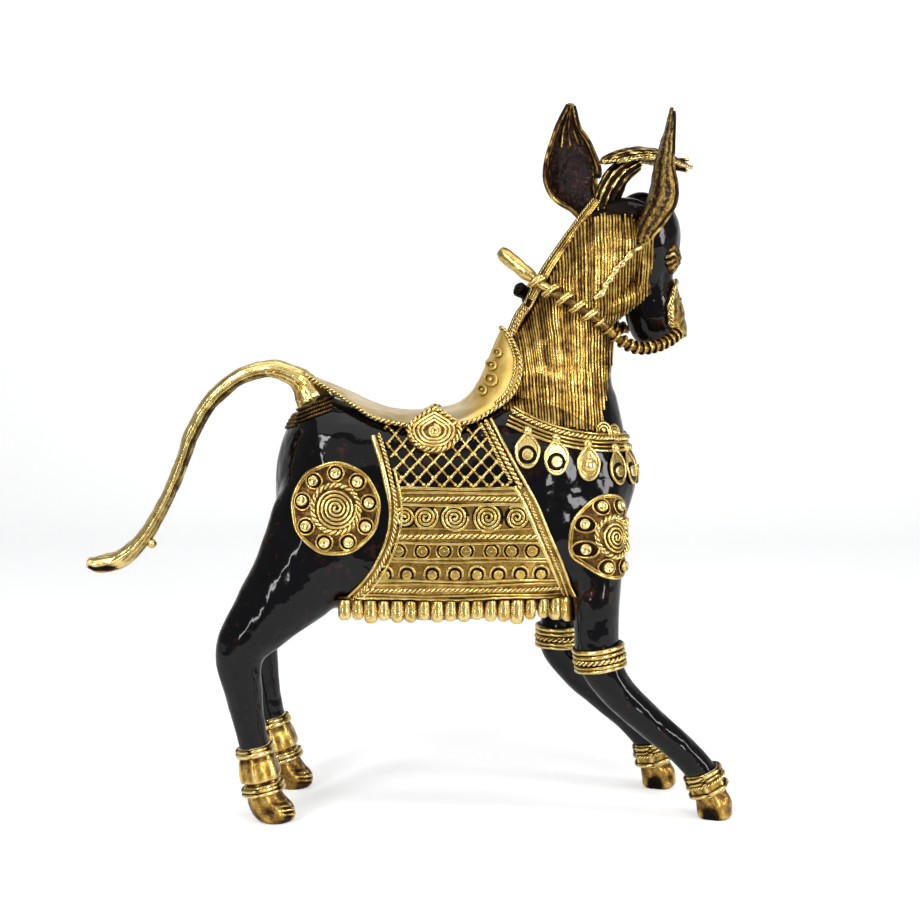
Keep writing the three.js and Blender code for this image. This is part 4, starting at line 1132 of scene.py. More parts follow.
def saddle_drop(name, side, ground):
    """Teardrop plate standing on the saddle's edge: rope border and coiled wire."""
    x, y, z = DROP_AT
    facing = Facing(side, (x, y, z - LEFT_DROP_LOWER * (side == LEFT)), 0, DROP_TILT)
    wide, high = DROP_SIZE
    outline = drop(0, 0, wide, high, 60)
    tree = ray_tree(ground)
    starts, aims = facing.cast(np.vstack([outline * 0.9, outline * 0.5]))
    hits = [tree.ray_cast(Vector(s), Vector(a))[0] for s, a in zip(starts, aims)]
    level = max(np.dot(np.array(h) - facing.at, facing.out) for h in hits if h) + DROP_PROUD

    def on_plate(flat):
        flat = np.asarray(flat, float).reshape(-1, 2)
        bulge = level - DROP_BULGE * (flat ** 2).sum(1)
        return facing.at + np.column_stack([flat, bulge]) @ np.array([facing.along, facing.up, facing.out])

    art = Drawing(f"{name}_saddle_drop_cast", cling=False, backing_to=ground, aim=-facing.out)
    art.sheet([on_plate(row) for row in polar_sheet((0, -1.2), outline, 14)], 0.45, 4.5, 0.7)
    art.rope(on_plate(outline * 0.93), 0.95, closed=True)
    for share in DROP_COILS:
        coil = drop(0, -0.9 * (1 - share), wide * share, high * share, 50)
        art.wire(on_plate(coil), 0.52, closed=True)
    art.wire(on_plate(spiral(0, -1.0, 2.3, 2.0, 90)), 0.52)
    return art.build(lift=0.6)


# Collar: places round the chest in degrees from the front, and z; cords by height over that line and radius
COLLAR_AXIS, COLLAR_HALF = 50, 2.3
COLLAR_LINE = [(-124, 137.6), (-101, 133), (-76, 130), (-48, 128.4), (0, 127.6)]
COLLAR_ROPE, COLLAR_WIRES = (1.9, 0.85), ((3.2, 0.52), (0.4, 0.5), (-0.9, 0.45), (-2.2, 0.58))
# Pendants and rosettes: place, turn from the side and z
PENDANTS = [
    ((40.2, 0, 0), 0, 127.4), ((47, 0, 0), 6, 125), ((54.6, 0, 0), 14, 122.8), ((59.2, -4, 0), 42, 120.8),
    ((62, -3, 0), 66, 120.2), ((64, 0, 0), 90, 119.6),
]
ROSETTES = [((61, -2, 0), 20, 132.6), ((62, -4, 0), 44, 131.6)]
PENDANT_SIZE, BOSSED_PENDANT, FRONT_TURN = (3.8, 5.6), 2, 90
# On a pendant: rise and radius of the bead and the boss, rise of the rounds; radius, height and tone of each
PENDANT_BEAD, PENDANT_BOSS, PENDANT_ROUNDS_AT = (6.0, 1.75), (-1, 2.6), -1.6
PENDANT_ROUNDS = ((3.0, 0.8, 0.2), (1.8, 1.4, 1.05))


def breast_collar():
    """Band round the chest with teardrop pendants; the one in front is made once."""
    half = curve(COLLAR_LINE, 40)
    line = np.vstack([half, half[-2::-1] * (-1, 1)])
    band = Drawing("collar_band", Round(COLLAR_AXIS))
    band.sheet([line + (0, rise) for rise in np.linspace(-COLLAR_HALF, COLLAR_HALF, 9)], 0.4)
    band.rope(line + (0, COLLAR_ROPE[0]), COLLAR_ROPE[1])
    for rise, radius in COLLAR_WIRES:
        band.wire(line + (0, rise), radius)
    made = [band.build(lift=0.5)]
    for side in SIDES.values():
        for i, (at, turn, z) in enumerate(PENDANTS):
            if turn == FRONT_TURN and side == LEFT:
                continue
            art = Drawing("collar_pendant", Facing(side, at, turn))
            outline = drop(0, z, *PENDANT_SIZE)
            art.sheet(polar_sheet((0, z - 0.8), outline, 8), 0.6, tone=1.1)
            art.wire(outline, 0.62, closed=True)
            art.stud(BEAD_FORM, [(0, z + PENDANT_BEAD[0])], PENDANT_BEAD[1])
            if i == BOSSED_PENDANT:
                art.stud(BOSS_FORM, [(0, z + PENDANT_BOSS[0])], PENDANT_BOSS[1])
            else:
                for form in PENDANT_ROUNDS:
                    disc(art, 0, z + PENDANT_ROUNDS_AT, *form)
            made.append(art.build(lift=0.55))
        for at, turn, z in ROSETTES:
            art = Drawing("collar_rosette", Facing(side, at, turn))
            for radius in (2.9, 1.9):
                art.wire(circle(0, z, radius, 24, -10, 200), 0.46)
            art.stud(BEAD_FORM, [(0, z + 0.4)], 1.0)
            made.append(art.build(lift=0.6))
    return joined("breast_collar_cast", made)


# Crupper: x and z along the side, cords by height over that line and radius, and the arc behind
CRUPPER = [(-25.4, 141.4), (-32, 139), (-38.8, 136.2), (-45, 133.8)]
CRUPPER_CORDS = ((2.0, 0.46), (0.8, 0.5), (-0.4, 0.46), (-1.6, 0.42))
CRUPPER_AXIS, CRUPPER_ARC, CRUPPER_REAR, CRUPPER_SAG = -30, (118, 242), 136.6, 2.4


def crupper():
    """Coarse cords wound round the rump below the tail."""
    arc = np.linspace(*CRUPPER_ARC, 30)
    behind = np.column_stack([arc, CRUPPER_REAR - CRUPPER_SAG * np.cos(np.radians(arc - 180)) ** 2])
    beside = curve(CRUPPER, 24)
    runs = [("crupper_cords", Facing(side), beside) for side in SIDES.values()]
    runs.append(("crupper_rear", Round(CRUPPER_AXIS), behind))
    made = []
    for name, facing, line in runs:
        art = Drawing(name, facing, CORD_BRASS, wobble=0.6)
        for rise, radius in CRUPPER_CORDS:
            art.rope(line + (0, rise), radius)
        made.append(art.build(lift=0.25))
    return joined("crupper_cast", made)


# Fringe of blunt tassels under a hem of two wires; a tassel's profile is y and radius
HEM_Z, HEM_OUT, HEM_ENDS, TASSELS = 77.0, 0.6, (-20.6, 54.8), 18
TASSEL = [(0.4, 1.9), (-0.6, 2.15), (-2.4, 2.15), (-4.4, 2.25), (-6.0, 2.05), (-6.9, 1.2)]
TASSEL_FLAT, TASSEL_SIDES, FLANK = 0.78, 14, 26.0


def flank(x, z):
    """Half width of the body under a point of the hem, found by a ray from the right."""
    hit = backing_tree.ray_cast(Vector((x, -REACH, z)), Vector((0, 1, 0)))[0]
    return -hit.y if hit else FLANK


def tassel_form():
    angle = full_turn(TASSEL_SIDES)
    round_at = np.column_stack([np.cos(angle), np.zeros(TASSEL_SIDES), -TASSEL_FLAT * np.sin(angle)])
    return kept_form("tassel_form", [r * round_at + (0, y, 0) for y, r in curve(TASSEL, 16)])


TASSEL_FORM = tassel_form()
helpers.append(TASSEL_FORM)


def fringe(name, side):
    art = Drawing(f"{name}_fringe_cast", material=TASSEL_BRASS, cling=False, wobble=0.15, aim=(0, -side, 0))
    x = np.linspace(*HEM_ENDS, TASSELS)
    points = np.array([(xi, side * (flank(xi, HEM_Z) + HEM_OUT), HEM_Z) for xi in x])
    points[:, 1] = relaxed(points, np.column_stack([np.arange(TASSELS - 1), np.arange(1, TASSELS)]), 2)[:, 1]
    art.stud(TASSEL_FORM, points - (0, 0, 0.6), np.array([0.9 + 0.2 * rng.random() for _ in x]))
    hem = curve([points[0] - (2, 0, 0), *points, points[-1] + (2, 0, 0)], 60)
    art.wire(hem + (0, 0, 0.5), 0.62)
    art.wire(hem + (0, -side * 0.3, -0.6), 0.5)
    return art.build(lift=0.0)


# Saddle: ridge over the back (x, z) and rim down the right side (x, y, z)
SADDLE_RIDGE = [
    (-34.4, 150.8), (-28.4, 148.9), (-21.5, 145.8), (-14.6, 142.6), (-7.8, 139.8), (-0.9, 138.8),
    (8.7, 139.2), (16.3, 140.8), (20.8, 144), (23.5, 147.8), (25.9, 152.4), (27.7, 157), (29.6, 161.4),
    (31.9, 166),
]
SADDLE_RIM = [
    (-34.5, -2.5, 150.0), (-27, -8, 146.2), (-20.3, -14, 142.5), (-14.8, -18.5, 139.3), (-9.8, -21, 136.7),
    (-0.8, -22.6, 135.0), (8, -23, 134.6), (18.9, -23.2, 135.4), (23.8, -23, 136.7), (27.6, -22.4, 138.9),
    (32, -20.8, 141.6), (35.6, -19.4, 144.6), (38.1, -17, 149.4), (38.8, -14, 155.5), (37.4, -10.5, 160),
    (34.8, -6.5, 164), (32.1, -2.5, 166.4),
]
SADDLE_CLEAR, SADDLE_WALL = 0.9, 1.4
# Rings on the pommel: x, z and radius
SADDLE_RINGS = ((28.7, 149.7, 1.9), (29.0, 154.4, 1.4), (25.7, 146.2, 1.4), (30.9, 158.6, 1.2))


def kept_outside(points, clear):
    """Points moved out of the body until they stand clear of it."""
    moved = []
    for p in points:
        near, out, _, apart = backing_tree.find_nearest(Vector(p))
        inside = (Vector(p) - near).dot(out) < 0
        moved.append(near + out * clear if inside or apart < clear else p)
    return np.array(moved, float)


def saddle():
    """Sheet over the back with a turned-up pommel, rope rims and small rings; also gives the bare sheet."""
    steps, across = 90, 24
    count = 2 * across + 1
    turn = np.linspace(-1, 1, count) * math.pi / 2
    level = np.cos(turn)
    grid = []
    for (rx, rz), (mx, my, mz) in zip(curve(SADDLE_RIDGE, steps), curve(SADDLE_RIM, steps)):
        grid.append(np.column_stack([mx + (rx - mx) * level, -my * np.sin(turn), mz + (rz - mz) * level]))
    points = kept_outside(np.concatenate(grid), SADDLE_CLEAR)
    sheet = mesh_object("saddle_sheet", points, grid_faces(steps + 1, count))
    set_coordinates(sheet, kept_outside(relaxed(points, edge_pairs(sheet), 3), SADDLE_CLEAR))
    if normals(sheet)[(steps // 2) * count + across][2] < 0:
        sheet.data.flip_normals()
    lumpy(sheet, 0.35, 7, 5)
    grid = coordinates(sheet).reshape(steps + 1, count, 3)
    ground = backing_object("saddle_ground", [backing, sheet])
    walled(sheet, SADDLE_WALL, -1)
    relief_from_shape(sheet, 0.9, 1.2, 10)
    sheet.data.materials.append(SADDLE_BRASS)
    trim = Drawing("saddle_trim", cling=False, backing_to=ground, wobble=0.2)

    def edging(rows, columns, radius, closed=False):
        line = grid[rows, columns]
        out = np.array([unit(p - (p[0] + 4, 0, p[2] - 16)) for p in line])
        trim.rope(line + out * 0.3, radius, closed, aim=-out)

    rows = np.arange(steps + 1)
    whole = np.concatenate([rows, rows[::-1]])
    edging(whole, np.repeat([0, count - 1], steps + 1), 0.85, True)
    for column in (3, count - 4):
        edging(rows[56:88], column, 0.62)
    made = [sheet, trim.build(lift=0.2)]
    for side in SIDES.values():
        rings = Drawing("saddle_rings", Facing(side), SADDLE_BRASS, backing_to=ground)
        for x, z, radius in SADDLE_RINGS:
            rings.wire(circle(x, z, radius, 20), 0.5, closed=True)
            rings.stud(BEAD_FORM, [(x, z)], 0.4 * radius)
        made.append(rings.build(lift=0.55))
    return joined("saddle_cast", made), ground


# Tail, mane, crest

def ridged(count, depth):
    """Section with rounded ridges round it, turning a little along the limb."""
    return lambda angle, t: 1 + depth * np.cos(count * angle + 0.8 * math.sin(5 * t))


TAIL_KNOB, TAIL_KNOB_RADIUS, KNOB_TONE = (-88.4, -1.8, 92.6), 1.5, 0.9
HOLLOW_ANGLE, HOLLOW_WIDTH, HOLLOW_DEPTH, HOLLOW_SHADE = 4.1, 0.55, 0.5, 0.75
HOLLOW_FROM, HOLLOW_TO = (0.84, 0.9), (0.965, 0.99)
# Tone of the tail, how much paler it is on its lit side, and where that side is
TAIL_TONE, TAIL_LIT, TAIL_LIT_AT = 0.88, 0.30, -0.5


def tail():
    """Flat ribbon with fine lengthwise grooves, painted light on one side and painted shade underneath, and a
    hollow beside its tip darkened with painted shade.
    """
    sides, steps = 56, 150
    rings = limb(TAIL, steps, sides, section=ridged(13, 0.028))
    middle = curve(TAIL, steps)[:, None, :3]
    angle = full_turn(sides)
    beside = np.exp(-((angle - HOLLOW_ANGLE) / HOLLOW_WIDTH) ** 2)
    along = [eased(t, *HOLLOW_FROM) * (1 - eased(t, *HOLLOW_TO)) for t in np.linspace(0, 1, steps + 1)]
    hollow = np.outer(along, beside)
    rings = middle + (rings - middle) * (1 - HOLLOW_DEPTH * hollow)[..., None]
    low, radius = np.array(TAIL_KNOB) - (0, 0, TAIL_KNOB_RADIUS), TAIL_KNOB_RADIUS
    ball = [(radius * (1 - math.cos(a)), radius * math.sin(a)) for a in np.linspace(0.1, 3.04, 12)]
    obj = solid_object("tail_cast", skin(rings), skin(turned(low, TAIL_KNOB, ball, 20)))
    lumpy(obj, 0.4, 5, 2)
    lumpy(obj, 0.16, 1.3, 3)
    relief_from_shape(obj, 0.0, 1.3, 16)
    # Painted light on the lit side of the ribbon, painted shade on the other side and in the hollow, added on
    # top of the patina.
    lit = (TAIL_TONE + TAIL_LIT * np.cos(angle - TAIL_LIT_AT) - HOLLOW_SHADE * hollow).ravel()
    knob = np.full(len(obj.data.vertices) - len(lit), KNOB_TONE)
    add_relief(obj, np.concatenate([lit, knob]))
    return obj


MANE = [
    (36.4, 0, 164.6, 1.8, 3.8), (39.2, 0, 170.4, 2, 4.2), (42.4, 0, 175, 2.1, 4.4),
    (48, 0, 185.4, 2.1, 4.4), (54.4, 0.4, 195, 2, 4), (60.4, 0.8, 203.4, 1.9, 3.6), (65, 1, 209.6, 1.7, 3),
]


# Cords along the mane: angle on its section, kind and radius; then the angles of each long loop's two sides
MANE_CORDS = (
    (180, "wire", 0.62), (204, "rope", 0.5), (156, "rope", 0.5), (272, "wire", 0.6), (88, "wire", 0.6),
)
MANE_LOOPS, LOOP_SPAN, LOOP_TAIL = ((236, 254), (106, 124)), (0.36, 1), (0, 0.3)


def along_mane(degrees, reach, span=(0, 1)):
    """Line along the mane at one angle of its section, and its outward directions."""
    steps = 70
    kept = slice(int(span[0] * steps), int(span[1] * steps) + 1)
    middle = curve(MANE, steps)[kept, :3]
    line = limb(MANE, steps, 360)[kept, degrees]
    out = np.array([unit(p - m) for p, m in zip(line, middle)])
    return middle + (line - middle) * reach, out


def mane_braid():
    """Flat strip with cords along it and a long loop on each side."""
    base = solid_object("mane_base", skin(limb(MANE, 60, 40)))
    relief_from_shape(base, 0.45, 1.0, 6)
    base.data.materials.append(BRASS)
    art = Drawing("mane_wires", cling=False, backing_to=base, wobble=0.3)
    for degrees, kind, radius in MANE_CORDS:
        line, out = along_mane(degrees, 1.06)
        getattr(art, kind)(line, radius, aim=-out)
    for low, high in MANE_LOOPS:
        first, out_first = along_mane(low, 1.05, LOOP_SPAN)
        second, out_second = along_mane(high, 1.05, LOOP_SPAN)
        art.wire(np.vstack([first, second[::-1]]), 0.6, aim=-np.vstack([out_first, out_second[::-1]]))
        for degrees in (low, high):
            line, out = along_mane(degrees, 1.06, LOOP_TAIL)
            art.rope(line, 0.66, aim=-out)
    return joined("mane_braid_cast", [base, art.build(lift=0.1)])


CREST_STEM = [
    (66.2, 1.2, 206, 3.8, 3.2), (69, 1.8, 213, 4.5, 3.6), (71.9, 3, 218.8, 3.7, 4.6),
    (77.8, 5.8, 223.2, 2.4, 5),
]
CREST_PLATE = [
    (66.2, 2.4, 223.6, 0.8, 1.6), (69, 3.2, 225.0, 1.2, 4.4), (74, 5, 226.6, 1.5, 6.2),
    (80, 7.4, 227.2, 1.6, 7.0), (86.5, 10.2, 226.4, 1.5, 6.4), (92, 12.6, 224.4, 1.2, 4.6),
    (97, 15, 222.8, 0.9, 2.4),
]
CREST_DROOP, CREST_WIDEST = 2.8, 7
# Barbs at the tip: y, z and how far the end is raised
CREST_BARBS = ((12.6, 224.6, 0.8), (14.2, 223.2, 0.2), (16, 222, -0.4))


def crest():
    """Domed leaf over a ribbed stem, with roped edges that droop."""
    stem = solid_object("crest_stem", skin(limb(CREST_STEM, 60, 48, across=CHEEK, section=ridged(11, 0.10))))
    lumpy(stem, 0.4, 2.4, 4)
    # The stem is kept dark brown: patina, and painted shade under the plate.
    relief_from_shape(stem, 0.02, 2.2, 12)
    rings = limb(CREST_PLATE, 70, 72, across=CHEEK, section=ridged(22, 0.06))
    spine = curve(CREST_PLATE, 70)
    droop = CREST_DROOP * spine[:, 4] / CREST_WIDEST
    aside = ((rings - spine[:, None, :3]) @ CHEEK) / spine[:, None, 4]
    rings[..., 2] -= droop[:, None] * aside ** 2
    plate = solid_object("crest_plate", skin(rings))
    lumpy(plate, 0.4, 2.2, 4)
    relief_from_shape(plate, 0.52, 2.2, 12)
    for part in (stem, plate):
        part.data.materials.append(BRASS)
    art = Drawing("crest_wires", cling=False, backing_to=plate, wobble=0.4)
    for side in (-1, 1):
        edge = spine[:, :3] + np.outer(spine[:, 4] * side * 0.98, CHEEK)
        edge[:, 2] -= droop
        art.rope(edge, 0.72)
    for y, z, lift in CREST_BARBS:
        barb = [(89, y - 2, z + 0.6), (93, y, z), (97.4, y + 0.8, z - 0.6 + lift)]
        art.wire(barb, [0.7, 0.8, 0.6])
    return joined("crest_cast", [stem, plate, art.build(lift=0.1)])


# Ears: x, y, z, half thickness and half width along the leaf; then the ways it is wide and open
EARS = {
    "left_ear": ([
        (65, 7.6, 202.6, 3.4, 3.8), (60.8, 9.8, 209.6, 4.4, 5.8), (57, 10.4, 216, 5.2, 9.2),
        (56.4, 10.4, 221, 5.3, 10), (55.8, 10.1, 228, 4.6, 8), (55.1, 9.8, 234.6, 3.4, 4.8),
        (55.7, 9.3, 240.6, 1.9, 2.4), (56.2, 9, 243.8, 0.8, 1),
    ], (1, 0.25, 0), (0.1, -1, 0)),
    "right_ear": ([
        (79.2, -7, 196, 2.6, 3.6), (80.4, -7.8, 200, 3.4, 4.8), (82.6, -9, 204, 4.0, 6.4),
        (85.2, -10, 209.5, 4.4, 8.0), (85.9, -10.2, 214, 3.8, 7.8), (85.9, -10.2, 221, 2.7, 5.8),
        (87, -10, 228, 2.0, 4.2), (88.2, -9.4, 235, 1.2, 2.6), (88.8, -9, 240.8, 0.7, 1.2),
    ], (0.35, -0.94, 0), (0.94, 0.35, 0)),
}
EAR_WALL, EAR_CUP, EAR_LEAN, EAR_RIBS, RIB_DEPTH, LEAST = 1.5, 1.25, 0.35, 9, 0.04, 0.1
# Bare brass: tone and swing over the ribs outside, tone, swing and number of lines at the tip inside
RIB_WEAR, TIP_WEAR, TIP_FROM, TIP_FADE = (0.60, 0.26), (0.55, 0.4, 16), 0.72, 0.16


def ear(name, rows, across, opening):
    """Cupped leaf: a crescent wall open to one side, bare brass on the rim."""
    steps, arc = 70, 30
    opening = unit(np.array(opening, float))
    angle = np.linspace(-math.pi / 2, math.pi / 2, arc + 1)
    ribs = np.cos(EAR_RIBS * angle)
    edge = np.abs(np.sin(angle)) ** 5
    outside = np.maximum(edge, RIB_WEAR[0] + RIB_WEAR[1] * ribs)
    tip_lines = TIP_WEAR[0] + TIP_WEAR[1] * np.cos(TIP_WEAR[2] * angle)
    spine = curve(rows, steps)
    rings, rims = [], []
    for i, (tangent, wide, _) in enumerate(frames(spine[:, :3], across)):
        deep = unit(opening - tangent * np.dot(opening, tangent))
        depth, width = spine[i, 3:]
        walls = (
            (depth * EAR_CUP * (1 + RIB_DEPTH * ribs), width),
            (max(depth * EAR_CUP - EAR_WALL, LEAST), max(width - EAR_WALL * 0.7, LEAST)),
        )
        lean = spine[i, :3] + deep * depth * EAR_LEAN
        back, front = (
            lean - np.outer(far * np.cos(angle), deep) + np.outer(half * np.sin(angle), wide)
            for far, half in walls
        )
        rings.append(np.vstack([back, front[::-1]]))
        tip = np.clip((i / steps - TIP_FROM) / TIP_FADE, 0, 1)
        rims.append(np.concatenate([outside, np.maximum(edge, tip * tip_lines)[::-1]]))
    rings = np.array(rings)
    obj = solid_object(f"{name}_cast", skin(rings))
    write_attribute(obj, "rim", [*np.concatenate(rims), 0.5, 1.0])
    lumpy(obj, 0.35, 2.6, 6)
    obj.data.materials.append(EAR_ENAMEL)
    art = Drawing(f"{name}_wires", cling=False, backing_to=obj, wobble=0.5)
    for column, weight in ((0, 0.85), (arc, 0.85), (arc + 4, 0.45), (2 * arc - 2, 0.45)):
        line = rings[6:steps - 2, column]
        out = np.array([unit(p - m) for p, m in zip(line, spine[6:steps - 2, :3])])
        art.wire(line, weight * np.linspace(1, 0.6, len(line)), aim=-out)
    for column in (arc + 10, arc + 15, arc + 20):
        art.wire(rings[steps - 28:steps - 2, column] + opening * 0.4, 0.42, aim=-opening)
    return joined(f"{name}_cast", [obj, art.build(lift=0.0)])


# Head: noseband and eyes
HEAD_LINE = curve(HEAD, 200)
# Noseband: heights below the poll with how far round it reaches there, in degrees, and its wall
NOSE_UP, NOSE_ROUND = (-46.5, -42, -36, -29, -26.5), (84, 102, 98, 70, 30)
NOSE_PROUD, NOSE_WALL = 0.9, 1.2


def head_point(up, degrees, rise):
    """Point over the head's skin: height from the poll, angle from the face to the right cheek, rise."""
    f, _, depth, width = HEAD_LINE[np.argmin(np.abs(HEAD_LINE[:, 1] - up))]
    angle = math.radians(degrees)
    return in_head(f + (depth + rise) * math.cos(angle), up, (width + rise) * math.sin(angle))


def noseband():
    """Rough plate strapped over the front of the muzzle."""
    rows, columns = 36, 60
    grid = []
    for up in np.linspace(NOSE_UP[-1], NOSE_UP[0], rows):
        limit = np.interp(up, NOSE_UP, NOSE_ROUND)
        grid.append([head_point(up, d, NOSE_PROUD) for d in np.linspace(-limit, limit, columns)])
    grid = np.array(grid)
    sheet = mesh_object("noseband_sheet", grid.reshape(-1, 3), grid_faces(rows, columns))
    if float((normals(sheet) @ FACE).sum()) < 0:
        sheet.data.flip_normals()
    walled(sheet, NOSE_WALL, 0)
    lumpy(sheet, 0.6, 2.2, 8)
    relief_from_shape(sheet, 0.78, 1.3, 8)
    sheet.data.materials.append(BRASS)
    art = Drawing("noseband_wires", cling=False, backing_to=head, wobble=0.5)
    for column, aim in ((1, CHEEK), (columns - 2, -CHEEK)):
        art.rope(grid[:, column], 0.7, aim=aim)
    for row in (rows - 2, 12):
        art.rope(grid[row], 0.75, aim=-FACE)
    return joined("noseband_cast", [sheet, art.build(lift=0.5)])


# Eyes: height from the poll, angle from the face, half width, height and depth, and how far they are sunk
EYE_DROP, EYE_TURN, EYE_SIZE, EYE_SUNK = -19, 72, (4.5, 5.7, 2.7), 0.8


def eye(name, side):
    """Leaf-shaped boss with a middle vein and slanting side veins."""
    turn = math.radians(EYE_TURN)
    centre = head_point(EYE_DROP, -side * EYE_TURN, -EYE_SUNK)
    out = FACE * math.cos(turn) + CHEEK * (-side) * math.sin(turn)
    across = np.cross((0, 0, 1), out)
    angle = full_turn(40)
    half_wide, half_high, half_deep = EYE_SIZE
    rings = []
    for t in np.linspace(0.02, 0.98, 30):
        wide = half_wide * math.sin(math.pi * t) ** 0.8
        reach = half_deep * math.sin(math.pi * t) ** 0.6
        slant = t - 0.22 * np.abs(np.cos(angle))
        veins = 1 + 0.07 * np.cos(11 * slant * math.pi) * np.abs(np.cos(angle))
        rings.append(centre + np.outer(wide * np.cos(angle) * veins, across)
                     + np.outer(reach * np.sin(angle) * veins, out) + (0, 0, (1 - 2 * t) * half_high))
    obj = solid_object(f"{name}_eye_cast", skin(np.array(rings)[::-1]))
    lumpy(obj, 0.25, 1.2, 9)
    return relief_from_shape(obj, 0.86, 1.8, 8)


# Reins: path of each rod from the peg end to the noseband
REINS = {
    "right": [
        (31.6, -5.4, 193.0), (38.2, -9, 187.4), (44.7, -11.6, 182.3), (51.3, -14.2, 178), (57.9, -15.6, 174),
        (64.6, -15.4, 169.4), (70.8, -13.4, 164), (76.6, -10.8, 160.8), (82.6, -7, 160.6),
        (88.6, -2.6, 162.4), (93.4, 1.6, 165.6),
    ],
    "left": [
        (37.6, 8.4, 180.6), (41.2, 10.6, 178.6), (46, 12.6, 177), (52.5, 14.8, 175.6), (59, 15.8, 173),
        (65.6, 16.8, 170), (72, 18.8, 167.4), (77.4, 21.4, 166),
    ],
}
REIN_RADIUS, LOOPS_FROM, LOOPS_TO = 1.8, 0.19, 0.985
# Along a rein, 0 to 1: girth of the rod, gap from loop to loop and slant of the loops
REIN_GIRTH = (0, 0.01, 0.04, 0.14, 0.19, 1), (0.95, 1.3, 1.42, 1.36, 0.8, 0.85)
REIN_GAPS = (0.19, 0.36, 0.5, 0.62, 1), (5.6, 5.0, 3.6, 3.3, 2.2)
REIN_SLANT = (0.2, 0.48, 0.56), (0.42, 0.38, 0.05)
# Loops: reach, radius and places of the wires, slanting pairs first and then single rings
PAIRS, RINGS, PAIR_SLANT = (1.6, 0.52, (-0.55, 0.55)), (1.02, 0.62, (0.0,)), 0.3
# Tone of the peg and of the wound rod, the left ones lower as painted shade behind the nape, and where along
# x from the end the one passes to the other
REIN_TONES_AND_SHADE, PEG_ENDS = {"right": (1.0, 0.74), "left": (0.25, 0.66)}, (14, 19)


def rein(name):
    """Rod with a plain peg end, slanting pairs of loops, then rings to the noseband."""
    path = REINS[name]
    rows = []
    for t in np.linspace(0, 1, 40):
        girth = REIN_RADIUS * np.interp(t, *REIN_GIRTH)
        rows.append((*through(path, t), girth, girth))
    rod = solid_object(f"{name}_rein_rod", skin(limb(rows, 120, 24)))
    lumpy(rod, 0.25, 2.5, 7)
    peg = [path[0][0] + x for x in PEG_ENDS]
    # The left rein's tones are lower than the right's: painted shade behind the nape.
    write_attribute(rod, "relief", np.interp(coordinates(rod)[:, 0], peg, REIN_TONES_AND_SHADE[name]) * MM)
    rod.data.materials.append(BRASS)
    art = Drawing(f"{name}_rein_wires", cling=False, backing_to=rod)
    length = np.linalg.norm(np.diff(curve(path, 200), axis=0), axis=1).sum()
    angle = full_turn(26)
    t = LOOPS_FROM
    while t < LOOPS_TO:
        ahead = unit(through(path, min(t + 0.01, 1)) - through(path, t - 0.01))
        aside = unit(np.cross((0, 0, 1), ahead))
        out = np.outer(np.cos(angle), np.cross(ahead, aside)) + np.outer(np.sin(angle), aside)
        slant = np.interp(t, *REIN_SLANT)
        girth, radius, shifts = PAIRS if slant > PAIR_SLANT else RINGS
        reach = REIN_RADIUS * girth
        for shift in shifts:
            ring = through(path, t) + out * reach + np.outer(reach * slant * np.cos(angle) + shift, ahead)
            art.wire(ring, radius, closed=True, aim=-out)
        t += np.interp(t, *REIN_GAPS) / length
    return joined(f"{name}_rein_cast", [rod, art.build(lift=0.0)])


# Hair: upright wires in three tiers on the neck and cheeks, from x to x
HAIR_PITCH, HAIR_RADIUS, HAIR_LIFT, HAIR_GROUND = 1.04, 0.5, 0.05, 0.3
HAIR_FROM, HAIR_TO, HAIR_REAR, HAIR_LOW, HAIR_STEP = 26, 92, 29, 128, 0.6
# Least share of a skin's normal that faces the side, and points of the shortest wire
HAIR_FACING, HAIR_SHORTEST = 0.16, 4
POLL_LINE, POLL_GROUND, TIER_SEAM = 203.2, -0.2, 152.5
# Ragged ends: how far a wire's place, its top at the poll and its ends at the tiers' seam vary
HAIR_JITTER, POLL_RAGGED, SEAM_OVER, SEAM_RAGGED = 0.14, (-1.2, 2.8), (0.6, 2.4), (-3, -0.4)
HAIR_WEIGHTS, REIN_OVER = (0.8, 1.2), 1
# Lean of the middle tier by x, and of the lower one
MIDDLE_LEAN, LOWER_LEAN = ((36, 60), (0.14, 0.0)), 0.05
# Edges of the bare skin: the face, z and x in front, x and z below, and the jaw
FACE_LOW, FACE_BEHIND, FACE_OVER = -46, 5.6, 166
BARE_FRONT = (138, 149, 160, 166, 171), (66, 68.6, 71, 73.5, 96)
BARE_BELOW = (30, 45, 58, 70), (141, 136, 133.4, 131.5)
JAW_FROM, JAW_LOW, JAW_HIGH, JAW_RISE, JAW_AT = 74, 158, 172.5, 0.83, 75.6
FACE_MIDDLE = curve(HEAD, 60)
REIN_LINES = {name: curve(path, 60) for name, path in REINS.items()}


def bare_of_hair(p):
    """True on the black face, on the black front of the neck and below the collar."""
    rel = np.array(p) - np.array(HEAD_AT)
    middle = np.interp(-rel[2], -FACE_MIDDLE[:, 1], FACE_MIDDLE[:, 0])
    face = rel[2] > FACE_LOW and np.dot(rel, FACE) > middle - FACE_BEHIND and p[2] > FACE_OVER
    front = p[0] > np.interp(p[2], *BARE_FRONT)
    low = p[2] < np.interp(p[0], *BARE_BELOW)
    jaw = p[0] > JAW_FROM and JAW_LOW < p[2] < JAW_HIGH + JAW_RISE * (p[0] - JAW_AT)
    return face or front or low or jaw


def under_hair(obj):
    """Paints a skin brown brass where hair lies on it, and black where it is bare."""
    obj.data.materials.append(ENAMEL)
    obj.data.materials.append(HAIR_BRASS)
    for face in obj.data.polygons:
        face.material_index = 0 if bare_of_hair(np.array(face.center) / MM) else 1
    tone = np.where(coordinates(obj)[:, 2] > POLL_LINE, POLL_GROUND, HAIR_GROUND)
    write_attribute(obj, "relief", tone * MM)


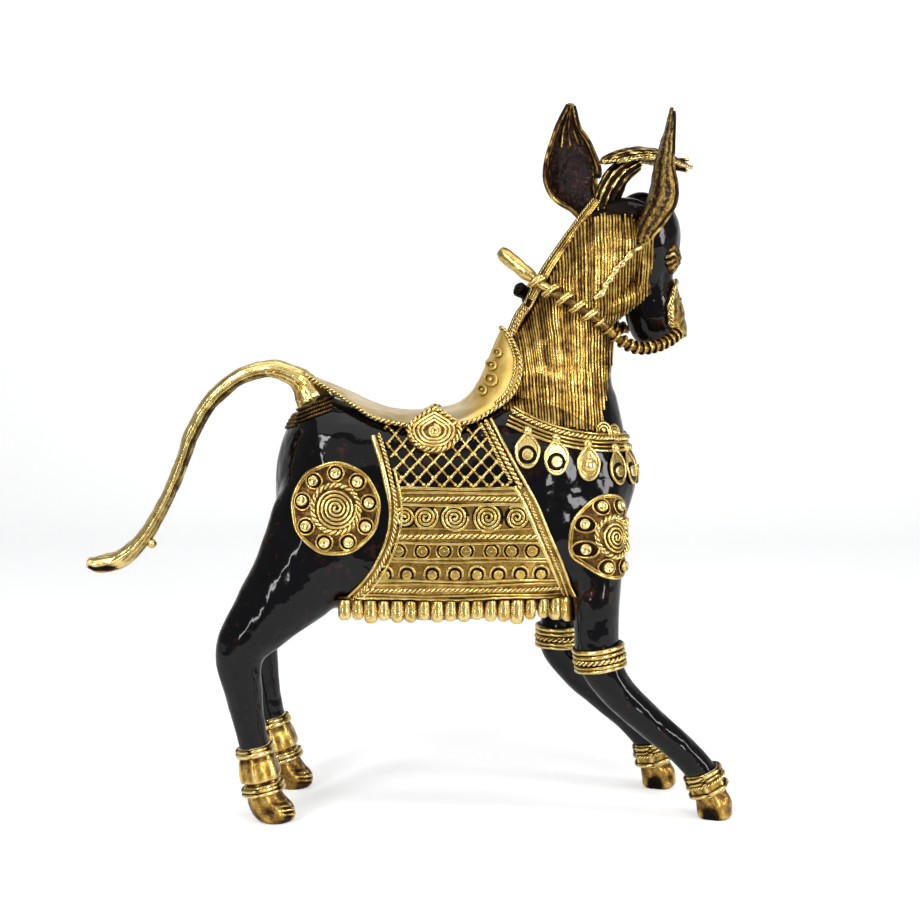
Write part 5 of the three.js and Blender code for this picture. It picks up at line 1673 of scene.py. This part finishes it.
def hair(name, side):
    """Wires of one side, each broken where the skin is bare or turns away."""
    art = Drawing(f"{name}_hair", Facing(side), HAIR_BRASS, wobble=0.75)
    shaggy = random.Random(11)
    rein_line = REIN_LINES[name]

    def draw(run):
        if len(run) > HAIR_SHORTEST:
            art.wire(run, HAIR_RADIUS * shaggy.uniform(*HAIR_WEIGHTS))

    for tier in ("upper", "middle", "lower"):
        for x0 in np.arange(HAIR_FROM, HAIR_TO, HAIR_PITCH):
            x0 += shaggy.uniform(-HAIR_JITTER, HAIR_JITTER)
            lean = {"upper": 0.0, "middle": np.interp(x0, *MIDDLE_LEAN), "lower": LOWER_LEAN}[tier]
            seam = float(np.interp(x0, rein_line[:, 0], rein_line[:, 2]))
            top = {
                "upper": POLL_LINE + shaggy.uniform(*POLL_RAGGED), "middle": seam + REIN_OVER,
                "lower": TIER_SEAM + shaggy.uniform(*SEAM_OVER),
            }[tier]
            low = {"upper": seam, "middle": TIER_SEAM + shaggy.uniform(*SEAM_RAGGED), "lower": HAIR_LOW}[tier]
            run = []
            for z in np.arange(top, low, -HAIR_STEP):
                x = x0 + lean * (top - z)
                hit, out = backing_tree.ray_cast(Vector((x, side * REACH, z)), Vector((0, -side, 0)))[:2]
                if hit is None or abs(out.y) < HAIR_FACING or bare_of_hair(hit) or hit.x < HAIR_REAR:
                    draw(run)
                    run = []
                else:
                    run.append((x, z))
            draw(run)
    return art.build(lift=HAIR_LIFT, step=0.5, sides=6)


# Ridge of hair down the right cheek: x and z
CHEEK_RIDGE = [
    (78.9, 195), (75.4, 192.6), (72.6, 189.3), (70.4, 187.2), (68.6, 184.3), (66.6, 182), (65.9, 179.6),
    (62.8, 176.9),
]


def neck():
    under_hair(neck_core)
    wires = [hair(name, side) for name, side in SIDES.items()]
    ridge = Drawing("cheek_ridge", Facing(RIGHT), wobble=0.6)
    line = curve(CHEEK_RIDGE, 40)
    ridge.wire(line, 1.2 + 0.3 * np.sin(np.arange(len(line)) * 1.1))
    return joined("neck_cast", [neck_core, *wires, ridge.build(lift=0.35)])


# Legs' bands, cuffs and hooves
CORNER_STEPS = 6


def leg_at(name, z):
    rows = curve(LEGS[name], 200)
    return rows[np.argmin(np.abs(rows[:, 2] - z)), :3]


def fine(profile):
    """Profile with its corners rounded by a dense curve."""
    return curve(profile, (len(profile) - 1) * CORNER_STEPS)


def panelled(angle):
    """Section with leaf-shaped panels round it."""
    return 1 + 0.10 * (1 - np.abs(np.cos(3 * angle + 0.5))) ** 2 - 0.02


def round_cord(art, start, end, kind, height, radius, weight, tilt=0.0):
    """A cord laid round the axis from start to end."""
    axis, wide, deep = axis_frame(start, end)
    angle = full_turn(40)
    out = np.outer(np.cos(angle), deep) + np.outer(np.sin(angle), wide)
    ring = start + out * radius + np.outer(height + tilt * np.cos(angle), axis)
    getattr(art, kind)(ring, weight, closed=True, aim=-out)


def band_axis(name, top, tall, lean):
    """Ends of a band's axis on the leg; a lean below 1 sets the band more upright than the leg."""
    start, end = leg_at(name, top - tall * 0.9), leg_at(name, top)
    slack = (end[0] - start[0]) * (1 - lean) / 2
    return start + (slack, 0, 0), end - (slack, 0, 0)


# Bands: the limb, top on each side, lean, profile of height and radius, its sides and section, unevenness,
# base, gain and passes of the patina, wobble, and cords by kind, height, radius, weight and tilt
BANDS = {
    "knee_band": {
        "limb": "fore", "top": {"right": 59.8, "left": 59.8}, "lean": 0.55, "sides": 60, "section": None,
        "profile": [(0, 7.4), (0.5, 7.9), (7.3, 7.9), (7.8, 7.4)],
        "uneven": None, "patina": (0.4, 1.0, 6), "wobble": 0.5,
        "cords": [("wire", 0.6, 8.4, 0.66), ("wire", 1.8, 8.3, 0.66), ("rope", 3.5, 8.0, 0.95),
                  ("wire", 5.4, 8.1, 0.85), ("wire", 7.1, 8.1, 0.95)],
    },
    "hind_cuff": {
        "limb": "hind", "top": {"right": 25.2, "left": 24.4}, "lean": 1.0, "sides": 84, "section": panelled,
        "profile": [(0, 6.0), (0.5, 6.4), (3.2, 6.3), (3.8, 5.5), (4.4, 5.5), (5.2, 6.7), (8, 6.7), (11, 6.3),
                    (13, 5.7), (16.2, 5.6), (16.8, 5.2)],
        "uneven": (0.1, 2.6, 3), "patina": (0.7, 1.6, 18), "wobble": 0.35,
        "cords": [("wire", 0.9, 6.9, 0.7), ("wire", 2.4, 6.8, 0.7), ("wire", 14.4, 5.8, 1.15),
                  ("wire", 15.9, 5.8, 0.75)],
    },
    "fore_cuff": {
        "limb": "fore", "top": {"right": 16.6, "left": 16.6}, "lean": 0.75, "sides": 84, "section": panelled,
        "profile": [(-1.2, 5.2), (0.4, 6.1), (7.0, 5.9), (7.6, 5.4)],
        "uneven": None, "patina": (0.66, 2.0, 12), "wobble": 0.35,
        "cords": [("wire", 0.7, 6.6, 0.7, 0.3), ("rope", 3.9, 6.5, 0.6, 0.5), ("wire", 5.3, 6.4, 0.5, 0.5),
                  ("wire", 6.8, 6.3, 0.7, 0.3)],
    },
}


def leg_band(name, kind):
    """Turned band on a leg, round or with panels, and the cords wound on it."""
    form = BANDS[kind]
    tall = form["profile"][-1][0]
    start, end = band_axis(f"{name}_{form['limb']}", form["top"][name], tall, form["lean"])
    rings = turned(start, end, fine(form["profile"]), form["sides"], form["section"])
    base = solid_object(f"{kind}_base", skin(rings))
    if form["uneven"]:
        lumpy(base, *form["uneven"])
    base.data.materials.append(BRASS)
    relief_from_shape(base, *form["patina"])
    art = Drawing(f"{kind}_cords", cling=False, backing_to=base, wobble=form["wobble"])
    for cord in form["cords"]:
        round_cord(art, start, end, *cord)
    return joined(f"{name}_{kind}_cast", [base, art.build(lift=0.1)])


# Hooves: z, ahead, half length, half width
HIND_HOOF = [
    (12.6, -0.2, 5.4, 5.4), (11, 0.1, 5.6, 5.5), (9.6, 0.4, 6.0, 5.8), (7.4, 1.2, 6.8, 6.1),
    (5.2, 2.5, 7.6, 6.3), (3, 3.2, 7.4, 6.3), (1.5, 3.6, 6.6, 6), (0.4, 3.8, 5.4, 5.2), (0, 3.8, 4.4, 4.4),
]
FORE_HOOF = [
    (12.6, -1.4, 5.3, 5.3), (11, -0.8, 5.3, 5.3), (9.1, 0.1, 5.4, 5.4), (7.6, 0.7, 5.8, 5.8),
    (5.6, 1.1, 6.1, 6.2), (3.4, 1.2, 6.0, 6.2), (1.6, 1.3, 5.9, 6), (0.4, 1.2, 5.1, 5.2),
    (0, 1.2, 4.4, 4.4),
]
# Rows, depth of the toe's split, angle and depth of the hollow, and height of the toe's ribs
HOOVES = {"hind": (HIND_HOOF, 0.12, 5.4, 0.05, 0.05), "fore": (FORE_HOOF, 0.06, 4.35, 0.34, 0.0)}
# The third number sets how dark the painted shade in the hoof's hollow is.
HOOF_SIDES, SOLE_FLAT, HOOF_HOLLOW_SHADE, FOLD_DEPTH, FOLDS = 72, 2.5, 4, 0.015, 7
# Width round the hoof, then middle and half height in z, of the split, the hollow and the ribs
SPLIT_WIDE, SPLIT_Z, HOLLOW_WIDE, HOLLOW_Z = 0.17, (4.5, 3), 0.42, (1.6, 2.2)
RIBS_WIDE, RIBS_Z, RIBS_ANGLE = 0.6, (4.4, 2.6), -0.35


def bump_at(angle, middle, width):
    """Round bump over angles, 1 in the middle."""
    return np.exp(-(((angle - middle + math.pi) % (2 * math.pi) - math.pi) / width) ** 2)


def bell(z, middle, width):
    """Round bump over heights, 1 in the middle."""
    return math.exp(-((z - middle) / width) ** 2)


def hoof(name, rows, toe, hollow, depth, ribs):
    """Cast hoof with soft folds, a split, ribbed toe and a hollow above the sole, darkened with painted
    shade.
    """
    x, y = LEGS[name][-1][:2]
    angle = full_turn(HOOF_SIDES)
    rings, dark = [], []
    for z, ahead, long, wide in curve(rows, 60)[::-1]:
        fold = 1 + FOLD_DEPTH * np.cos(FOLDS * angle + 0.5 * z)
        split = 1 - toe * bump_at(angle, 0, SPLIT_WIDE) * bell(z, *SPLIT_Z)
        cave = depth * bump_at(angle, hollow, HOLLOW_WIDE) * bell(z, *HOLLOW_Z)
        slant = np.cos(3.9 * z + 2.2 * angle)
        curl = 1 + ribs * bump_at(angle, RIBS_ANGLE, RIBS_WIDE) * slant * bell(z, *RIBS_Z)
        reach = fold * split * curl * (1 - cave)
        dark.append(cave)
        rings.append(np.column_stack([
            x + ahead + long * np.cos(angle) * reach, y + wide * np.sin(angle) * reach,
            np.full(HOOF_SIDES, z),
        ]))
    obj = solid_object(f"{name}_hoof_cast", skin(np.array(rings)))
    points = coordinates(obj)
    lumpy(obj, 0.5, 4.4, 12)
    low = np.clip(points[:, 2] / SOLE_FLAT, 0, 1)[:, None]
    moved = points + (coordinates(obj) - points) * low
    moved[:, 2] = np.maximum(moved[:, 2], 0)
    set_coordinates(obj, moved)
    relief_from_shape(obj, 0.64, 1.7, 12)
    # Painted shade in the hollow, darker the deeper it is.
    add_relief(obj, -HOOF_HOLLOW_SHADE * np.concatenate(dark))
    return obj


# Run the pieces
place(body, ["torso", *(f"{name}_leg" for name in LEGS)], ENAMEL)
seat, saddle_ground = saddle()
helpers.append(saddle_ground)
for name, side in SIDES.items():
    place(blanket(name, side), [f"{name}_blanket"])
    place(fringe(name, side), [f"{name}_fringe"])
    place(saddle_drop(name, side, saddle_ground), [f"{name}_saddle_drop"])
    hip = medallion(f"{name}_hip_medallion_cast", Facing(side), *HIP)
    place(hip, [f"{name}_hip_medallion"])
    facing = Facing(side, SHOULDER_AT, SHOULDER_TURN)
    shoulder = medallion(f"{name}_shoulder_medallion_cast", facing, *SHOULDER)
    place(shoulder, [f"{name}_shoulder_medallion"])
    place(rein(name), [f"{name}_rein"])
    place(eye(name, side), [f"{name}_eye"], BRASS)
    for kind in BANDS:
        place(leg_band(name, kind), [f"{name}_{kind}"])
    for end, form in HOOVES.items():
        place(hoof(f"{name}_{end}", *form), [f"{name}_{end}_hoof"], BRASS)
place(seat, ["saddle"])
place(breast_collar(), ["breast_collar"])
place(crupper(), ["crupper"])
place(tail(), ["tail"], BRASS)
place(mane_braid(), ["mane_braid"])
place(crest(), ["crest"])
for name, leaf in EARS.items():
    place(ear(name, *leaf), [name])
place(noseband(), ["noseband"])
place(neck(), ["neck"])
under_hair(head)
place(head, ["head"])
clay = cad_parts["clay_core"]
clay.data.materials.clear()
clay.data.materials.append(CLAY)


# Studio
STAGE_FRONT, STAGE_DEEP, STAGE_BEND, STAGE_HIGH, STAGE_WIDE = -260, 700, 300, 900, 2600
# Lamps: place, what they point at, width and height, watts
LAMPS = {
    "top_box": ((20, -160, 1050), (20, 0, 100), (1300, 900), 5.0),
    "front_box": ((60, -1000, 620), (20, 0, 110), (1200, 500), 1.2),
    "key": ((-420, -620, 640), (10, 0, 120), (190, 190), 2.2),
    "left_strip": ((-480, -720, 250), (10, 0, 110), (60, 480), 1.7),
    "right_strip": ((430, -740, 250), (10, 0, 110), (130, 480), 3.0),
    "right_window": ((820, -260, 260), (20, 0, 120), (150, 420), 2.4),
}
WORLD_TINT, WORLD_LIGHT = (0.93, 0.96, 1.0, 1), 0.20
CAMERA_AT, CAMERA_TO = (18, -650, 182.5), (18, 0, 121.5)
PHOTO_WIDTH, FOCAL_PIXELS, SENSOR, CLIP = 920, 1893, 36, (0.01, 20)


def stage():
    """White sweep: floor, a round bend and a wall behind."""
    profile = [(STAGE_FRONT, 0), (STAGE_DEEP, 0)]
    for a in np.linspace(0.1, math.pi / 2, 14):
        profile.append((STAGE_DEEP + STAGE_BEND * math.sin(a), STAGE_BEND - STAGE_BEND * math.cos(a)))
    profile.append((STAGE_DEEP + STAGE_BEND, STAGE_HIGH))
    points = [(x, y, z) for y, z in profile for x in (-STAGE_WIDE, STAGE_WIDE)]
    faces = [(2 * i, 2 * i + 1, 2 * i + 3, 2 * i + 2) for i in range(len(profile) - 1)]
    floor = mesh_object("stage_sweep", points, faces)
    floor.data.materials.append(stage_white("stage_white"))


def set_up(name, data, at, towards):
    """A lamp or camera at a place, pointed at another."""
    obj = bpy.data.objects.new(name, data)
    bpy.context.scene.collection.objects.link(obj)
    obj.location = Vector(at) * MM
    obj.rotation_euler = (Vector(towards) - Vector(at)).to_track_quat("-Z", "Y").to_euler()
    return obj


def studio():
    stage()
    for name, (at, towards, (wide, high), watts) in LAMPS.items():
        light = bpy.data.lights.new(name, "AREA")
        light.shape, light.size, light.size_y, light.energy = "RECTANGLE", wide * MM, high * MM, watts
        set_up(name, light, at, towards)
    world = bpy.data.worlds.new("studio_world")
    world.use_nodes = True
    sky = world.node_tree.nodes["Background"].inputs
    sky["Color"].default_value, sky["Strength"].default_value = WORLD_TINT, WORLD_LIGHT
    bpy.context.scene.world = world


def camera():
    data = bpy.data.cameras.new("photo_camera")
    data.sensor_width = SENSOR
    data.lens = SENSOR * FOCAL_PIXELS / PHOTO_WIDTH
    data.clip_start, data.clip_end = CLIP
    bpy.context.scene.camera = set_up("photo_camera", data, CAMERA_AT, CAMERA_TO)


studio()
camera()
for helper in helpers:
    bpy.data.objects.remove(helper)
bpy.context.scene.view_settings.view_transform = "Standard"
